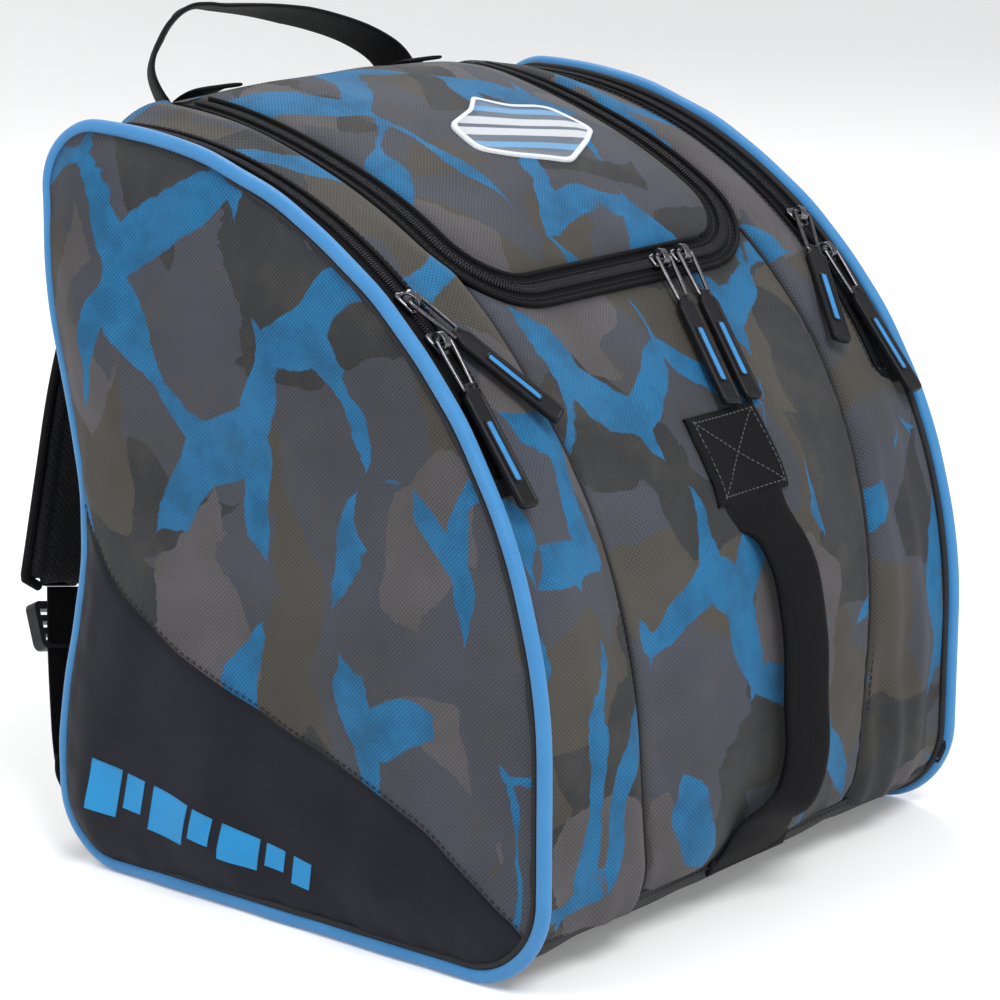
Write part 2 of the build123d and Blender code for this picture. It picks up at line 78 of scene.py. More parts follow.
def outlineLoop(step=0.001):
    spots, outs = [], []

    def straight(a, b, n):
        count = max(2, int(math.dist(a, b) / step))
        for t in np.linspace(0, 1, count, endpoint=False):
            spots.append((a[0] + (b[0] - a[0]) * t, a[1] + (b[1] - a[1]) * t))
            outs.append(n)

    def arc(c, r, a0, a1):
        count = max(4, int(r * abs(math.radians(a1 - a0)) / step))
        for t in np.linspace(math.radians(a0), math.radians(a1), count, endpoint=False):
            outs.append((math.cos(t), math.sin(t)))
            spots.append((c[0] + r * math.cos(t), c[1] + r * math.sin(t)))

    bb, bf, tb = shell["bottomBack"], shell["bottomFront"], shell["topBack"]
    straight((backY - bb, lowZ), (frontY + bf, lowZ), (0, -1))
    arc((frontY + bf, lowZ + bf), bf, 270, 180)
    straight((frontY, lowZ + bf), (frontY, arcZ), (-1, 0))
    arc((arcY, arcZ), shell["arcRadius"], 180, 90)
    straight((arcY, topZ), (backY - tb, topZ), (0, 1))
    arc((backY - tb, topZ - tb), tb, 90, 0)
    straight((backY, topZ - tb), (backY, lowZ + bb), (1, 0))
    arc((backY - bb, lowZ + bb), bb, 0, -90)
    return np.array(spots), np.array(outs, float)


loopP, loopN = outlineLoop()
loopS = np.concatenate([[0], np.cumsum(np.linalg.norm(np.diff(loopP, axis=0), axis=1))])
loopLength = loopS[-1] + np.linalg.norm(loopP[0] - loopP[-1])
wrapS = np.concatenate([loopS, [loopLength]])
wrapP = np.vstack([loopP, loopP[:1]])
wrapN = np.vstack([loopN, loopN[:1]])


def unit(x):
    # held between nought and one
    return np.clip(x, 0, 1)


def alongLoop(s):
    # outline point and outward direction at a length along it
    s = np.mod(s, loopLength)
    p = np.stack([np.interp(s, wrapS, wrapP[:, k]) for k in (0, 1)], -1)
    n = np.stack([np.interp(s, wrapS, wrapN[:, k]) for k in (0, 1)], -1)
    return p, n / np.linalg.norm(n, axis=-1, keepdims=True)


def lengthAt(test):
    # first length along the outline where the test holds
    return float(loopS[np.nonzero(test(loopP, loopN))[0][0]])


sLipFront = lengthAt(lambda p, n: (p[:, 1] > shell["lip"]) & (p[:, 0] < 0))
sFoldFront = lengthAt(lambda p, n: (p[:, 1] > shell["fold"]) & (p[:, 0] < 0))
sLidFront = lengthAt(lambda p, n: (n[:, 1] > math.sin(math.radians(shell["lidAngle"]))) & (p[:, 1] > arcZ))
sTop = lengthAt(lambda p, n: (p[:, 1] > topZ - 1e-5))
sHinge = lengthAt(lambda p, n: (p[:, 0] > shell["hinge"]) & (p[:, 1] > arcZ))
sYokeEnd = lengthAt(lambda p, n: (p[:, 1] < shell["yokeEnd"]) & (p[:, 0] > 0) & (n[:, 0] > 0.7))
sFoldBack = lengthAt(lambda p, n: (p[:, 1] < shell["fold"]) & (p[:, 0] > 0) & (n[:, 0] > 0.7))
sLipBack = lengthAt(lambda p, n: (p[:, 1] < shell["lip"]) & (p[:, 0] > 0) & (n[:, 0] > 0.1))

softness = {"backBow": 0.021, "bowCentre": 0.185, "bowHalf": 0.135, "crown": 0.014, "crownRun": 0.10,
            "crownHalf": 0.152}


def soften(p):
    # the back bows in between its corners
    p = np.array(p, float)
    share = unit(p[..., 1] / backY) ** 3
    reach = unit(np.abs(p[..., 2] - softness["bowCentre"]) / softness["bowHalf"])
    p[..., 1] -= softness["backBow"] * share * np.cos(reach * math.pi / 2) ** 2
    return p


def crown(x, s):
    # the stuffed top swells past the edging towards the back, between the side zips
    across = unit(1 - (np.abs(x) / softness["crownHalf"]) ** 4)
    s = np.mod(s, loopLength)
    up = unit((s - sTop + softness["crownRun"]) / softness["crownRun"] / 1.6)
    down = unit((sYokeEnd + 0.07 - s) / 0.09)
    return softness["crown"] * across * up * up * (3 - 2 * up) * down * down * (3 - 2 * down)


def place(x, s, inset=0.0):
    # a point on the shell: across, along the outline, and in from the edging's centre line
    x, s, inset = np.broadcast_arrays(np.asarray(x, float), np.asarray(s, float), np.asarray(inset, float))
    inset = inset - crown(x, s)
    p, n = alongLoop(s)
    yz = p - n * inset[..., None]
    return soften(np.stack([x, yz[..., 0], yz[..., 1]], -1))


def ripple(u, v, size, seed, count=7):
    # soft uneven waves, about -1 to 1
    rng = np.random.default_rng(seed)
    total = 0
    for _ in range(count):
        a, k, ph = rng.uniform(0, 2 * math.pi), rng.uniform(0.6, 1.5) * 2 * math.pi / size, rng.uniform(0, 6.3)
        total = total + np.sin(k * (u * math.cos(a) + v * math.sin(a)) + ph)
    return total / count ** 0.5 / 1.2


sideName = {-1: "left", 1: "right"}


def lengths(path):
    # how far along a path each of its points lies
    return np.concatenate([[0], np.cumsum(np.linalg.norm(np.diff(path, axis=0), axis=1))])


def filled(rim, step):
    # a closed outline with points added at least every step
    out = []
    for a, b in zip(rim, np.roll(rim, -1, 0)):
        steps = max(1, int(np.linalg.norm(b - a) / step))
        out += [a + (b - a) * k / steps for k in range(steps)]
    return np.array(out)


def makeMesh(name, points, faces, uv=None, faceMats=None, materials=(), marks=None):
    mesh = bpy.data.meshes.new(name)
    mesh.from_pydata(np.asarray(points, float).reshape(-1, 3).tolist(), [], [list(map(int, f)) for f in faces])
    if uv is not None:
        layer = mesh.uv_layers.new(name="Cloth")
        index = np.zeros(len(mesh.loops), np.int32)
        mesh.loops.foreach_get("vertex_index", index)
        layer.uv.foreach_set("vector", np.asarray(uv, np.float32).reshape(-1, 2)[index].ravel())
    if marks is not None:
        mesh.attributes.new("seamMark", "FLOAT", "POINT").data.foreach_set(
            "value", np.asarray(marks, np.float32).ravel())
    for m in materials:
        mesh.materials.append(m)
    if faceMats is not None:
        mesh.polygons.foreach_set("material_index", np.asarray(faceMats, np.int32))
    mesh.polygons.foreach_set("use_smooth", [True] * len(mesh.polygons))
    mesh.validate()
    mesh.update()
    obj = bpy.data.objects.new(name, mesh)
    bpy.context.scene.collection.objects.link(obj)
    return obj


def gridFaces(rows, cols, start=0, closeCols=False, closeRows=False, flip=False):
    faces = []
    for r in range(rows if closeRows else rows - 1):
        for c in range(cols if closeCols else cols - 1):
            a = start + r * cols + c
            b = start + r * cols + (c + 1) % cols
            d = start + ((r + 1) % rows) * cols + c
            e = start + ((r + 1) % rows) * cols + (c + 1) % cols
            faces.append((a, d, e, b) if flip else (a, b, e, d))
    return faces


def gridNormals(p):
    n = np.cross(np.gradient(p, axis=1), np.gradient(p, axis=0))
    return n / np.maximum(np.linalg.norm(n, axis=-1, keepdims=True), 1e-12)


def clothPanel(name, p, uv, thick, materials, marks, outward):
    # a closed sheet: its face, its lining and its cut edge
    rows, cols = p.shape[:2]
    n = gridNormals(p)
    if n[rows // 2, cols // 2] @ np.asarray(outward) < 0:
        n = -n
    flip = bool(np.cross(p[rows // 2, cols // 2 + 1] - p[rows // 2, cols // 2],
                         p[rows // 2 + 1, cols // 2] - p[rows // 2, cols // 2]) @ n[rows // 2, cols // 2] < 0)
    inner = p - n * thick
    size = rows * cols
    faces = gridFaces(rows, cols, 0, flip=flip) + gridFaces(rows, cols, size, flip=not flip)
    mats = [0] * ((rows - 1) * (cols - 1)) + [1 if len(materials) > 1 else 0] * ((rows - 1) * (cols - 1))
    edge = ([r * cols for r in range(rows)] + [(rows - 1) * cols + c for c in range(1, cols)]
            + [r * cols + cols - 1 for r in range(rows - 2, -1, -1)] + list(range(cols - 2, 0, -1)))
    for a, b in zip(edge, edge[1:] + edge[:1]):
        faces.append((a, b, b + size, a + size) if flip else (b, a, a + size, b + size))
        mats.append(0)
    both = np.concatenate([p.reshape(-1, 3), inner.reshape(-1, 3)])
    uvs = np.concatenate([uv.reshape(-1, 2)] * 2)
    # marks are stored as the seamMark mask: on cloth they set where painted seam shade darkens the colour, on
    # webbing they pale the edges
    m = np.zeros((rows, cols)) if marks is None else marks
    return makeMesh(name, both, faces, uvs, mats, materials, marks=np.concatenate([m.ravel()] * 2))


def frames(path, side):
    # unit directions along a path, with a flat strip's width lying along side
    t = np.gradient(path, axis=0)
    t /= np.maximum(np.linalg.norm(t, axis=1, keepdims=True), 1e-12)
    w = side - (side * t).sum(1, keepdims=True) * t
    w /= np.linalg.norm(w, axis=1, keepdims=True)
    return t, w, np.cross(t, w)


def smoothPath(knots, count):
    # an even curve through the knots
    k = np.asarray(knots, float)
    d = np.concatenate([[0], np.cumsum(np.linalg.norm(np.diff(k, axis=0), axis=1) ** 0.5)])
    ext = np.vstack([2 * k[0] - k[1], k, 2 * k[-1] - k[-2]])
    dd = np.concatenate([[-(d[1] - d[0])], d, [d[-1] + d[-1] - d[-2]]])
    out = []
    for u in np.linspace(0, d[-1], count * 6):
        i = min(max(np.searchsorted(d, u, side="right") - 1, 0), len(d) - 2) + 1
        t0, t1, t2, t3 = dd[i - 1:i + 3]
        p0, p1, p2, p3 = ext[i - 1:i + 3]
        a1 = (t1 - u) / (t1 - t0) * p0 + (u - t0) / (t1 - t0) * p1
        a2 = (t2 - u) / (t2 - t1) * p1 + (u - t1) / (t2 - t1) * p2
        a3 = (t3 - u) / (t3 - t2) * p2 + (u - t2) / (t3 - t2) * p3
        b1 = (t2 - u) / (t2 - t0) * a1 + (u - t0) / (t2 - t0) * a2
        b2 = (t3 - u) / (t3 - t1) * a2 + (u - t1) / (t3 - t1) * a3
        out.append((t2 - u) / (t2 - t1) * b1 + (u - t1) / (t2 - t1) * b2)
    out = np.array(out)
    run = lengths(out)
    even = np.linspace(0, run[-1], count)
    return np.stack([np.interp(even, run, out[:, k]) for k in range(out.shape[1])], -1)


def strip(name, path, side, widths, thick, materials, crown=0.0):
    # flat webbing or a strap with rounded edges
    path = np.asarray(path, float)
    side = np.broadcast_to(np.asarray(side, float), path.shape)
    _, w, n = frames(path, side)
    widths = np.broadcast_to(np.asarray(widths, float), (len(path),))
    thick = np.broadcast_to(np.asarray(thick, float), (len(path),))
    ring = []
    for a in np.linspace(0, 2 * math.pi, 28, endpoint=False):
        c, s = math.cos(a), math.sin(a)
        ring.append((math.copysign(abs(c) ** 0.32, c), math.copysign(abs(s) ** 0.62, s)))
    ring = np.array(ring)
    p = (path[:, None] + w[:, None] * (ring[None, :, 0:1] * widths[:, None, None] / 2)
         + n[:, None] * (ring[None, :, 1:2] * thick[:, None, None] / 2
                         + crown * (1 - ring[None, :, 0:1] ** 2)))
    run = lengths(path)
    uv = np.stack([ring[None, :, 0] * widths[:, None] / 2 + 0 * run[:, None],
                   run[:, None] + 0 * ring[None, :, 0]], -1)
    rows, cols = p.shape[:2]
    faces = gridFaces(rows, cols, closeCols=True)
    faces += [tuple(range(cols))[::-1], tuple((rows - 1) * cols + c for c in range(cols))]
    edge = np.abs(ring[None, :, 0]) ** 8 + 0 * run[:, None]
    return makeMesh(name, p.reshape(-1, 3), faces, uv, None, materials, marks=edge)


def tube(name, path, radius, materials, closed=False, sides=12, ref=(1.0, 0.13, 0.07)):
    path = np.asarray(path, float)
    if closed:
        t = np.roll(path, -1, 0) - np.roll(path, 1, 0)
    else:
        t = np.gradient(path, axis=0)
    t /= np.linalg.norm(t, axis=1, keepdims=True)
    u = np.cross(t, np.asarray(ref, float))
    u /= np.linalg.norm(u, axis=1, keepdims=True)
    v = np.cross(t, u)
    a = np.linspace(0, 2 * math.pi, sides, endpoint=False)
    r = np.broadcast_to(np.asarray(radius, float), (len(path),))
    p = path[:, None] + (u[:, None] * np.cos(a)[None, :, None]
                         + v[:, None] * np.sin(a)[None, :, None]) * r[:, None, None]
    run = lengths(path)
    uv = np.stack([np.broadcast_to(a * r[0], p.shape[:2]), np.broadcast_to(run[:, None], p.shape[:2])], -1)
    faces = gridFaces(len(path), sides, closeCols=True, closeRows=closed)
    if not closed:
        faces += [tuple(range(sides))[::-1], tuple((len(path) - 1) * sides + c for c in range(sides))]
    return makeMesh(name, p.reshape(-1, 3), faces, uv, None, materials)


def beads(name, centres, tangents, sides, ups, size, materials, power=0.6):
    # a row of small rounded teeth or stitches
    base, faces = [], []
    rings, around = 5, 8
    for i in range(rings):
        a = math.pi * (i + 0.5) / rings - math.pi / 2
        for k in range(around):
            b = 2 * math.pi * k / around
            cb, sb = math.cos(b), math.sin(b)
            base.append((math.cos(a) ** power * math.copysign(abs(cb) ** power, cb), math.sin(a),
                         math.cos(a) ** power * math.copysign(abs(sb) ** power, sb)))
    faces = gridFaces(rings, around, closeCols=True, flip=True)
    faces += [tuple(range(around)), tuple((rings - 1) * around + c for c in range(around))[::-1]]
    base = np.array(base) * 0.5
    points = (centres[:, None] + sides[:, None] * base[None, :, 0:1] * size[0]
              + tangents[:, None] * base[None, :, 1:2] * size[1] + ups[:, None] * base[None, :, 2:3] * size[2])
    allFaces = [tuple(v + i * len(base) for v in f) for i in range(len(centres)) for f in faces]
    uv = np.stack([points[..., 0], points[..., 2]], -1)
    return makeMesh(name, points.reshape(-1, 3), allFaces, uv, None, materials)


def shellRow(path, inset, pitch, offset=0.0, shift=0.0):
    # evenly spaced seats along a line drawn on the shell; path is (across, along outline)
    path = np.asarray(path, float)
    run = lengths(path)
    at = np.arange(shift, run[-1], pitch)
    xy = np.stack([np.interp(at, run, path[:, k]) for k in (0, 1)], -1)
    d = np.stack([np.interp(at + 1e-4, run, path[:, k]) - np.interp(at - 1e-4, run, path[:, k]) for k in (0, 1)],
                 -1)
    d /= np.maximum(np.linalg.norm(d, axis=1, keepdims=True), 1e-12)
    lateral = np.stack([d[:, 1], -d[:, 0]], -1)
    xy = xy + lateral * offset
    depth = inset if callable(inset) else lambda x, s: inset

    def seat(moved):
        return place(moved[:, 0], moved[:, 1], depth(moved[:, 0], moved[:, 1]))

    c, ahead, aside = seat(xy), seat(xy + d * 1e-3), seat(xy + lateral * 1e-3)
    t, w = ahead - c, aside - c
    t /= np.linalg.norm(t, axis=1, keepdims=True)
    w /= np.linalg.norm(w, axis=1, keepdims=True)
    return c, t, w, np.cross(w, t)


def stitchRow(name, path, inset, material, pitch=0.0042, width=0.0009, length=0.003):
    c, t, w, u = shellRow(path, inset, pitch)
    return beads(name, c, t, w, u, (width, length, width), [material], power=0.9)


# node helpers
def newGroup(name, inputs, outputs):
    tree = bpy.data.node_groups.new(name, "ShaderNodeTree")
    for label, kind, value in inputs:
        s = tree.interface.new_socket(label, in_out="INPUT", socket_type=kind)
        if value is not None:
            s.default_value = value
    for label, kind in outputs:
        tree.interface.new_socket(label, in_out="OUTPUT", socket_type=kind)
    return tree, tree.nodes.new("NodeGroupInput"), tree.nodes.new("NodeGroupOutput")


def put(tree, kind, inputs=None, **settings):
    node = tree.nodes.new(kind)
    for k, v in settings.items():
        setattr(node, k, v)
    for k, v in (inputs or {}).items():
        socket = node.inputs[k]
        if hasattr(v, "links"):
            tree.links.new(v, socket)
        else:
            socket.default_value = v
    return node


def maths(tree, operation, a, b=None, c=None, clamp=False):
    given = {i: v for i, v in enumerate((a, b, c)) if v is not None}
    return put(tree, "ShaderNodeMath", given, operation=operation, use_clamp=clamp).outputs[0]


def mixColour(tree, factor, a, b, mode="MIX"):
    # sockets 0, 6 and 7 are the factor and the two colours; output 2 is the mixed colour
    return put(tree, "ShaderNodeMix", {0: factor, 6: a, 7: b}, data_type="RGBA", blend_type=mode).outputs[2]


def ramp(tree, value, stops):
    node = put(tree, "ShaderNodeValToRGB", {0: value})
    e = node.color_ramp.elements
    while len(e) < len(stops):
        e.new(0.5)
    for item, (at, shade) in zip(e, stops):
        item.position = at
        item.color = (shade, shade, shade, 1) if not hasattr(shade, "__len__") else (*shade, 1)
    return node.outputs[0]


def noise(tree, vector, scale, detail=2.0, rough=0.5, distortion=0.0):
    return put(tree, "ShaderNodeTexNoise", {"Vector": vector, "Scale": scale, "Detail": detail,
                                            "Roughness": rough, "Distortion": distortion})


def clothUv(tree):
    return put(tree, "ShaderNodeUVMap", uv_map="Cloth").outputs[0]


def seamMark(tree):
    return put(tree, "ShaderNodeAttribute", attribute_name="seamMark").outputs["Fac"]


def tinted(colour, gain, lift=0.0):
    # a paler shade of a colour
    return tuple(min(1, c * gain + lift) for c in colour[:3]) + (1,)


def weaveGroup():
    # threads crossing on the diagonal: height, and where the darker gaps between threads are
    tree, gin, gout = newGroup("crossedThreads", [
        ("Coordinates", "NodeSocketVector", None), ("Threads", "NodeSocketFloat", 520.0),
        ("Unevenness", "NodeSocketFloat", 0.35)], [("Height", "NodeSocketFloat"), ("Gap", "NodeSocketFloat")])
    wobble = noise(tree, gin.outputs["Coordinates"], 60.0, 2.0)
    moved = put(tree, "ShaderNodeVectorMath", {0: wobble.outputs["Color"], "Scale": 0.0012}, operation="SCALE")
    summed = put(tree, "ShaderNodeVectorMath", {0: gin.outputs["Coordinates"], 1: moved.outputs[0]},
                 operation="ADD")
    parts = put(tree, "ShaderNodeSeparateXYZ", {0: summed.outputs[0]})
    turn = maths(tree, "MULTIPLY", gin.outputs["Threads"], 2 * math.pi)
    waves = [maths(tree, "SINE", maths(tree, "MULTIPLY", parts.outputs[k], turn)) for k in (0, 1)]
    cross = maths(tree, "MULTIPLY", waves[0], waves[1])
    fuzz = noise(tree, gin.outputs["Coordinates"], 900.0, 2.0)
    uneven = maths(tree, "MULTIPLY", maths(tree, "SUBTRACT", fuzz.outputs["Fac"], 0.5), gin.outputs["Unevenness"])
    height = maths(tree, "ADD", maths(tree, "MULTIPLY_ADD", cross, 0.5, 0.5), uneven)
    gap = maths(tree, "SMOOTH_MIN", maths(tree, "ABSOLUTE", cross), 1.0, 0.1)
    tree.links.new(height, gout.inputs["Height"])
    tree.links.new(maths(tree, "SUBTRACT", 1.0, gap, clamp=True), gout.inputs["Gap"])
    return tree


def camoGroup():
    # printed camouflage: angular shards of grey and brown under bright forked shapes
    tree, gin, gout = newGroup("printedCamouflage", [
        ("Coordinates", "NodeSocketVector", None), ("Slate", "NodeSocketColor", None),
        ("Brown", "NodeSocketColor", None), ("Dark", "NodeSocketColor", None),
        ("Light", "NodeSocketColor", None), ("Bright", "NodeSocketColor", None)],
        [("Color", "NodeSocketColor")])
    at = gin.outputs["Coordinates"]

    def warped(source, scale, amount, detail):
        n = noise(tree, source, scale, detail)
        pull = put(tree, "ShaderNodeVectorMath", {0: n.outputs["Color"], 1: (0.5, 0.5, 0.5)}, operation="SUBTRACT")
        pull = put(tree, "ShaderNodeVectorMath", {0: pull.outputs[0], "Scale": amount}, operation="SCALE")
        return put(tree, "ShaderNodeVectorMath", {0: source, 1: pull.outputs[0]}, operation="ADD").outputs[0]

    bent = warped(warped(at, 17.0, 0.055, 1.5), 170.0, 0.0055, 2.0)

    def cells(source, offset, scale, turn, stretch, feature="F1"):
        moved = put(tree, "ShaderNodeMapping", {"Vector": source, "Location": offset, "Rotation": (0, 0, turn),
                                                "Scale": stretch})
        return put(tree, "ShaderNodeTexVoronoi", {"Vector": moved.outputs[0], "Scale": scale},
                   voronoi_dimensions="2D", feature=feature)

    def shards(offset, scale, turn, stretch, limit):
        node = cells(bent, offset, scale, turn, stretch)
        tone = put(tree, "ShaderNodeSeparateColor", {0: node.outputs["Color"]}).outputs[0]
        return maths(tree, "GREATER_THAN", tone, limit)

    colour = mixColour(tree, shards((3.1, 0.4, 0), 17, 0.6, (1, 0.6, 1), 0.45), gin.outputs["Slate"],
                       gin.outputs["Brown"])
    colour = mixColour(tree, shards((7.7, 2.2, 0), 19, -0.5, (0.7, 1.1, 1), 0.66), colour, gin.outputs["Dark"])
    colour = mixColour(tree, shards((1.3, 9.2, 0), 16, 0.9, (1, 0.65, 1), 0.78), colour, gin.outputs["Light"])
    colour = mixColour(tree, shards((4.3, 5.2, 0), 27, -0.9, (1, 0.6, 1), 0.80), colour, gin.outputs["Slate"])
    mottle = noise(tree, at, 9.0, 3.0, 0.6)
    shaded = mixColour(tree, 1.0, colour, (0.70, 0.67, 0.62, 1), "MULTIPLY")
    colour = mixColour(tree, ramp(tree, mottle.outputs["Fac"], [(0.4, 0.0), (0.65, 0.8)]), colour, shaded)
    blotch = noise(tree, at, 34.0, 4.0, 0.6)
    colour = mixColour(tree, ramp(tree, blotch.outputs["Fac"], [(0.47, 0.0), (0.68, 0.42)]), colour,
                       gin.outputs["Brown"])
    # forked shapes run along the edges between large cells and end in points
    forks = cells(warped(warped(at, 13.0, 0.045, 1.0), 190.0, 0.0035, 1.5), (0.37, 0.11, 0.0), 12.5, 0.65,
                  (1.2, 0.72, 1), "DISTANCE_TO_EDGE")
    width = noise(tree, at, 12.5, 1.6, 0.5)
    limit = maths(tree, "MULTIPLY", maths(tree, "SUBTRACT", width.outputs["Fac"], 0.440), 0.95)
    limit = maths(tree, "MINIMUM", limit, 0.125)
    edge = maths(tree, "SUBTRACT", limit, forks.outputs["Distance"])
    bright = maths(tree, "MULTIPLY_ADD", edge, 90.0, 0.5, clamp=True)
    washed = noise(tree, at, 42.0, 3.0, 0.6)
    deep = mixColour(tree, 1.0, gin.outputs["Bright"], (0.80, 0.74, 0.74, 1), "MULTIPLY")
    blue = mixColour(tree, ramp(tree, washed.outputs["Fac"], [(0.42, 0.0), (0.62, 1.0)]), gin.outputs["Bright"],
                     deep)
    tree.links.new(mixColour(tree, bright, colour, blue), gout.inputs["Color"])
    return tree


def dustAndSeamShadeGroup():
    # dust in the weave and painted shade along the seams, where the panels tuck in: a value to lighten by, and one
    # to darken by
    tree, gin, gout = newGroup("seamShadeAndDust", [("Coordinates", "NodeSocketVector", None),
                                            ("SeamMark", "NodeSocketFloat", 0.0)],
                               [("Dust", "NodeSocketFloat"), ("Shade", "NodeSocketFloat"),
                                ("Crease", "NodeSocketFloat")])
    big = noise(tree, gin.outputs[0], 11.0, 3.0, 0.6)
    fine = noise(tree, gin.outputs[0], 340.0, 3.0, 0.7)
    dust = maths(tree, "MULTIPLY", ramp(tree, big.outputs["Fac"], [(0.42, 0.0), (0.8, 1.0)]), fine.outputs["Fac"])
    creases = noise(tree, gin.outputs[0], 30.0, 3.0, 0.55, 0.6)
    tree.links.new(dust, gout.inputs["Dust"])
    # the Shade output is painted shade: it darkens the cloth along the seams in place of the shade in the seam
    # grooves
    tree.links.new(maths(tree, "MULTIPLY", gin.outputs["SeamMark"], 0.75), gout.inputs["Shade"])
    tree.links.new(creases.outputs["Fac"], gout.inputs["Crease"])
    return tree


threadsTree, camoTree, dustAndSeamShadeTree = weaveGroup(), camoGroup(), dustAndSeamShadeGroup()


def newMaterial(name, rough=0.7, metal=0.0, sheen=0.0, specular=0.5):
    mat = bpy.data.materials.new(name)
    mat.use_nodes = True
    tree = mat.node_tree
    bsdf = tree.nodes["Principled BSDF"]
    bsdf.inputs["Roughness"].default_value = rough
    bsdf.inputs["Metallic"].default_value = metal
    bsdf.inputs["Sheen Weight"].default_value = sheen
    bsdf.inputs["Specular IOR Level"].default_value = specular
    return mat, tree, bsdf


def groupNode(tree, group, inputs):
    return put(tree, "ShaderNodeGroup", inputs, node_tree=group)


def bumpInto(tree, bsdf, height, strength, distance):
    node = put(tree, "ShaderNodeBump", {"Height": height, "Strength": strength, "Distance": distance})
    tree.links.new(node.outputs[0], bsdf.inputs["Normal"])


palette = {
    "slate": (0.054, 0.060, 0.078, 1), "brown": (0.063, 0.058, 0.050, 1), "dark": (0.030, 0.032, 0.036, 1),
    "light": (0.088, 0.084, 0.092, 1), "bright": (0.012, 0.125, 0.275, 1),
    "piping": (0.012, 0.205, 0.480, 1), "plain": (0.0080, 0.0088, 0.0140, 1),
}


def clothMaterial(name, camo, colour=None, threads=440.0, rough=0.78, sheen=0.04, bump=0.45, dust=0.05,
                  relief=0.62, specular=0.20):
    mat, tree, bsdf = newMaterial(name, rough, sheen=sheen, specular=specular)
    uv = clothUv(tree)
    mark = seamMark(tree)
    weave = groupNode(tree, threadsTree, {"Coordinates": uv, "Threads": threads})
    dustAndShade = groupNode(tree, dustAndSeamShadeTree, {"Coordinates": uv, "SeamMark": mark})
    if camo:
        base = groupNode(tree, camoTree, {"Coordinates": uv, "Slate": palette["slate"], "Brown": palette["brown"],
                                          "Dark": palette["dark"], "Light": palette["light"],
                                          "Bright": palette["bright"]}).outputs["Color"]
    else:
        tone = noise(tree, uv, 26.0, 3.0).outputs["Fac"]
        base = mixColour(tree, tone, tuple(c * 0.82 for c in colour[:3]) + (1,), tuple(c * 1.2 for c in colour[:3])
                         + (1,))
    # painted shade in the gaps between threads and painted highlight on their tops, mixed in by the weave's height
    paintedGapShade = mixColour(tree, 1.0, base, (0.46, 0.47, 0.52, 1), "MULTIPLY")
    paintedThreadHighlight = mixColour(tree, 1.0, base, (1.42, 1.40, 1.36, 1), "MULTIPLY")
    woven = mixColour(tree, weave.outputs["Height"], paintedGapShade, paintedThreadHighlight)
    base = mixColour(tree, relief, base, woven)
    base = mixColour(tree, maths(tree, "MULTIPLY", dustAndShade.outputs["Dust"], dust), base, (0.45, 0.44, 0.42, 1))
    # painted seam shade: the colour is darkened where the seam mask is high, standing in for the shade where the
    # panels tuck in at the seams
    paintedSeamShade = mixColour(tree, 1.0, base, (0.22, 0.22, 0.24, 1), "MULTIPLY")
    base = mixColour(tree, dustAndShade.outputs["Shade"], base, paintedSeamShade)
    tree.links.new(base, bsdf.inputs["Base Color"])
    roughness = maths(tree, "MULTIPLY_ADD", weave.outputs["Height"], -0.12, rough + 0.06)
    tree.links.new(roughness, bsdf.inputs["Roughness"])
    tall = maths(tree, "ADD", weave.outputs["Height"], maths(tree, "MULTIPLY", dustAndShade.outputs["Crease"], 2.2))
    bumpInto(tree, bsdf, tall, bump, 0.0006)
    return mat


def webbingMaterial(name, colour, ribs=620.0, rough=0.62):
    mat, tree, bsdf = newMaterial(name, rough, sheen=0.0, specular=0.13)
    uv = clothUv(tree)
    mark = seamMark(tree)
    parts = put(tree, "ShaderNodeSeparateXYZ", {0: uv})
    across = maths(tree, "ABSOLUTE", maths(tree, "SINE", maths(tree, "MULTIPLY", parts.outputs[0], ribs * math.pi)))
    zig = maths(tree, "PINGPONG", parts.outputs[0], 0.0016)
    along = maths(tree, "SINE", maths(tree, "MULTIPLY", maths(tree, "ADD", parts.outputs[1], zig),
                                      ribs * 2.0 * math.pi))
    height = maths(tree, "MULTIPLY_ADD", across, 0.7, maths(tree, "MULTIPLY", along, 0.3))
    fuzz = noise(tree, uv, 700.0, 3.0, 0.7).outputs["Fac"]
    pale = tinted(colour, 1.9)
    base = mixColour(tree, maths(tree, "MULTIPLY", height, maths(tree, "MULTIPLY", fuzz, 0.7)), colour, pale)
    base = mixColour(tree, maths(tree, "MULTIPLY", mark, 0.4), base, tinted(colour, 2.2))
    tree.links.new(base, bsdf.inputs["Base Color"])
    bumpInto(tree, bsdf, maths(tree, "ADD", height, maths(tree, "MULTIPLY", fuzz, 0.6)), 0.5, 0.0005)
    return mat


def cordMaterial():
    mat, tree, bsdf = newMaterial("blueEdging", 0.55, sheen=0.15)
    uv = clothUv(tree)
    parts = put(tree, "ShaderNodeSeparateXYZ", {0: uv})
    twist = maths(tree, "SINE", maths(tree, "MULTIPLY", maths(tree, "ADD", parts.outputs[0], parts.outputs[1]),
                                      5200.0))
    tone = noise(tree, uv, 45.0, 3.0).outputs["Fac"]
    c = palette["piping"]
    deep = (c[0], c[1] * 0.82, c[2] * 0.86, 1)
    pale = (c[0] + 0.03, min(1, c[1] * 1.15), min(1, c[2] * 1.05), 1)
    base = mixColour(tree, tone, deep, pale)
    base = mixColour(tree, maths(tree, "MULTIPLY_ADD", twist, -0.12, 0.12), base, (0.008, 0.16, 0.42, 1))
    tree.links.new(base, bsdf.inputs["Base Color"])
    bumpInto(tree, bsdf, twist, 0.3, 0.0003)
    return mat


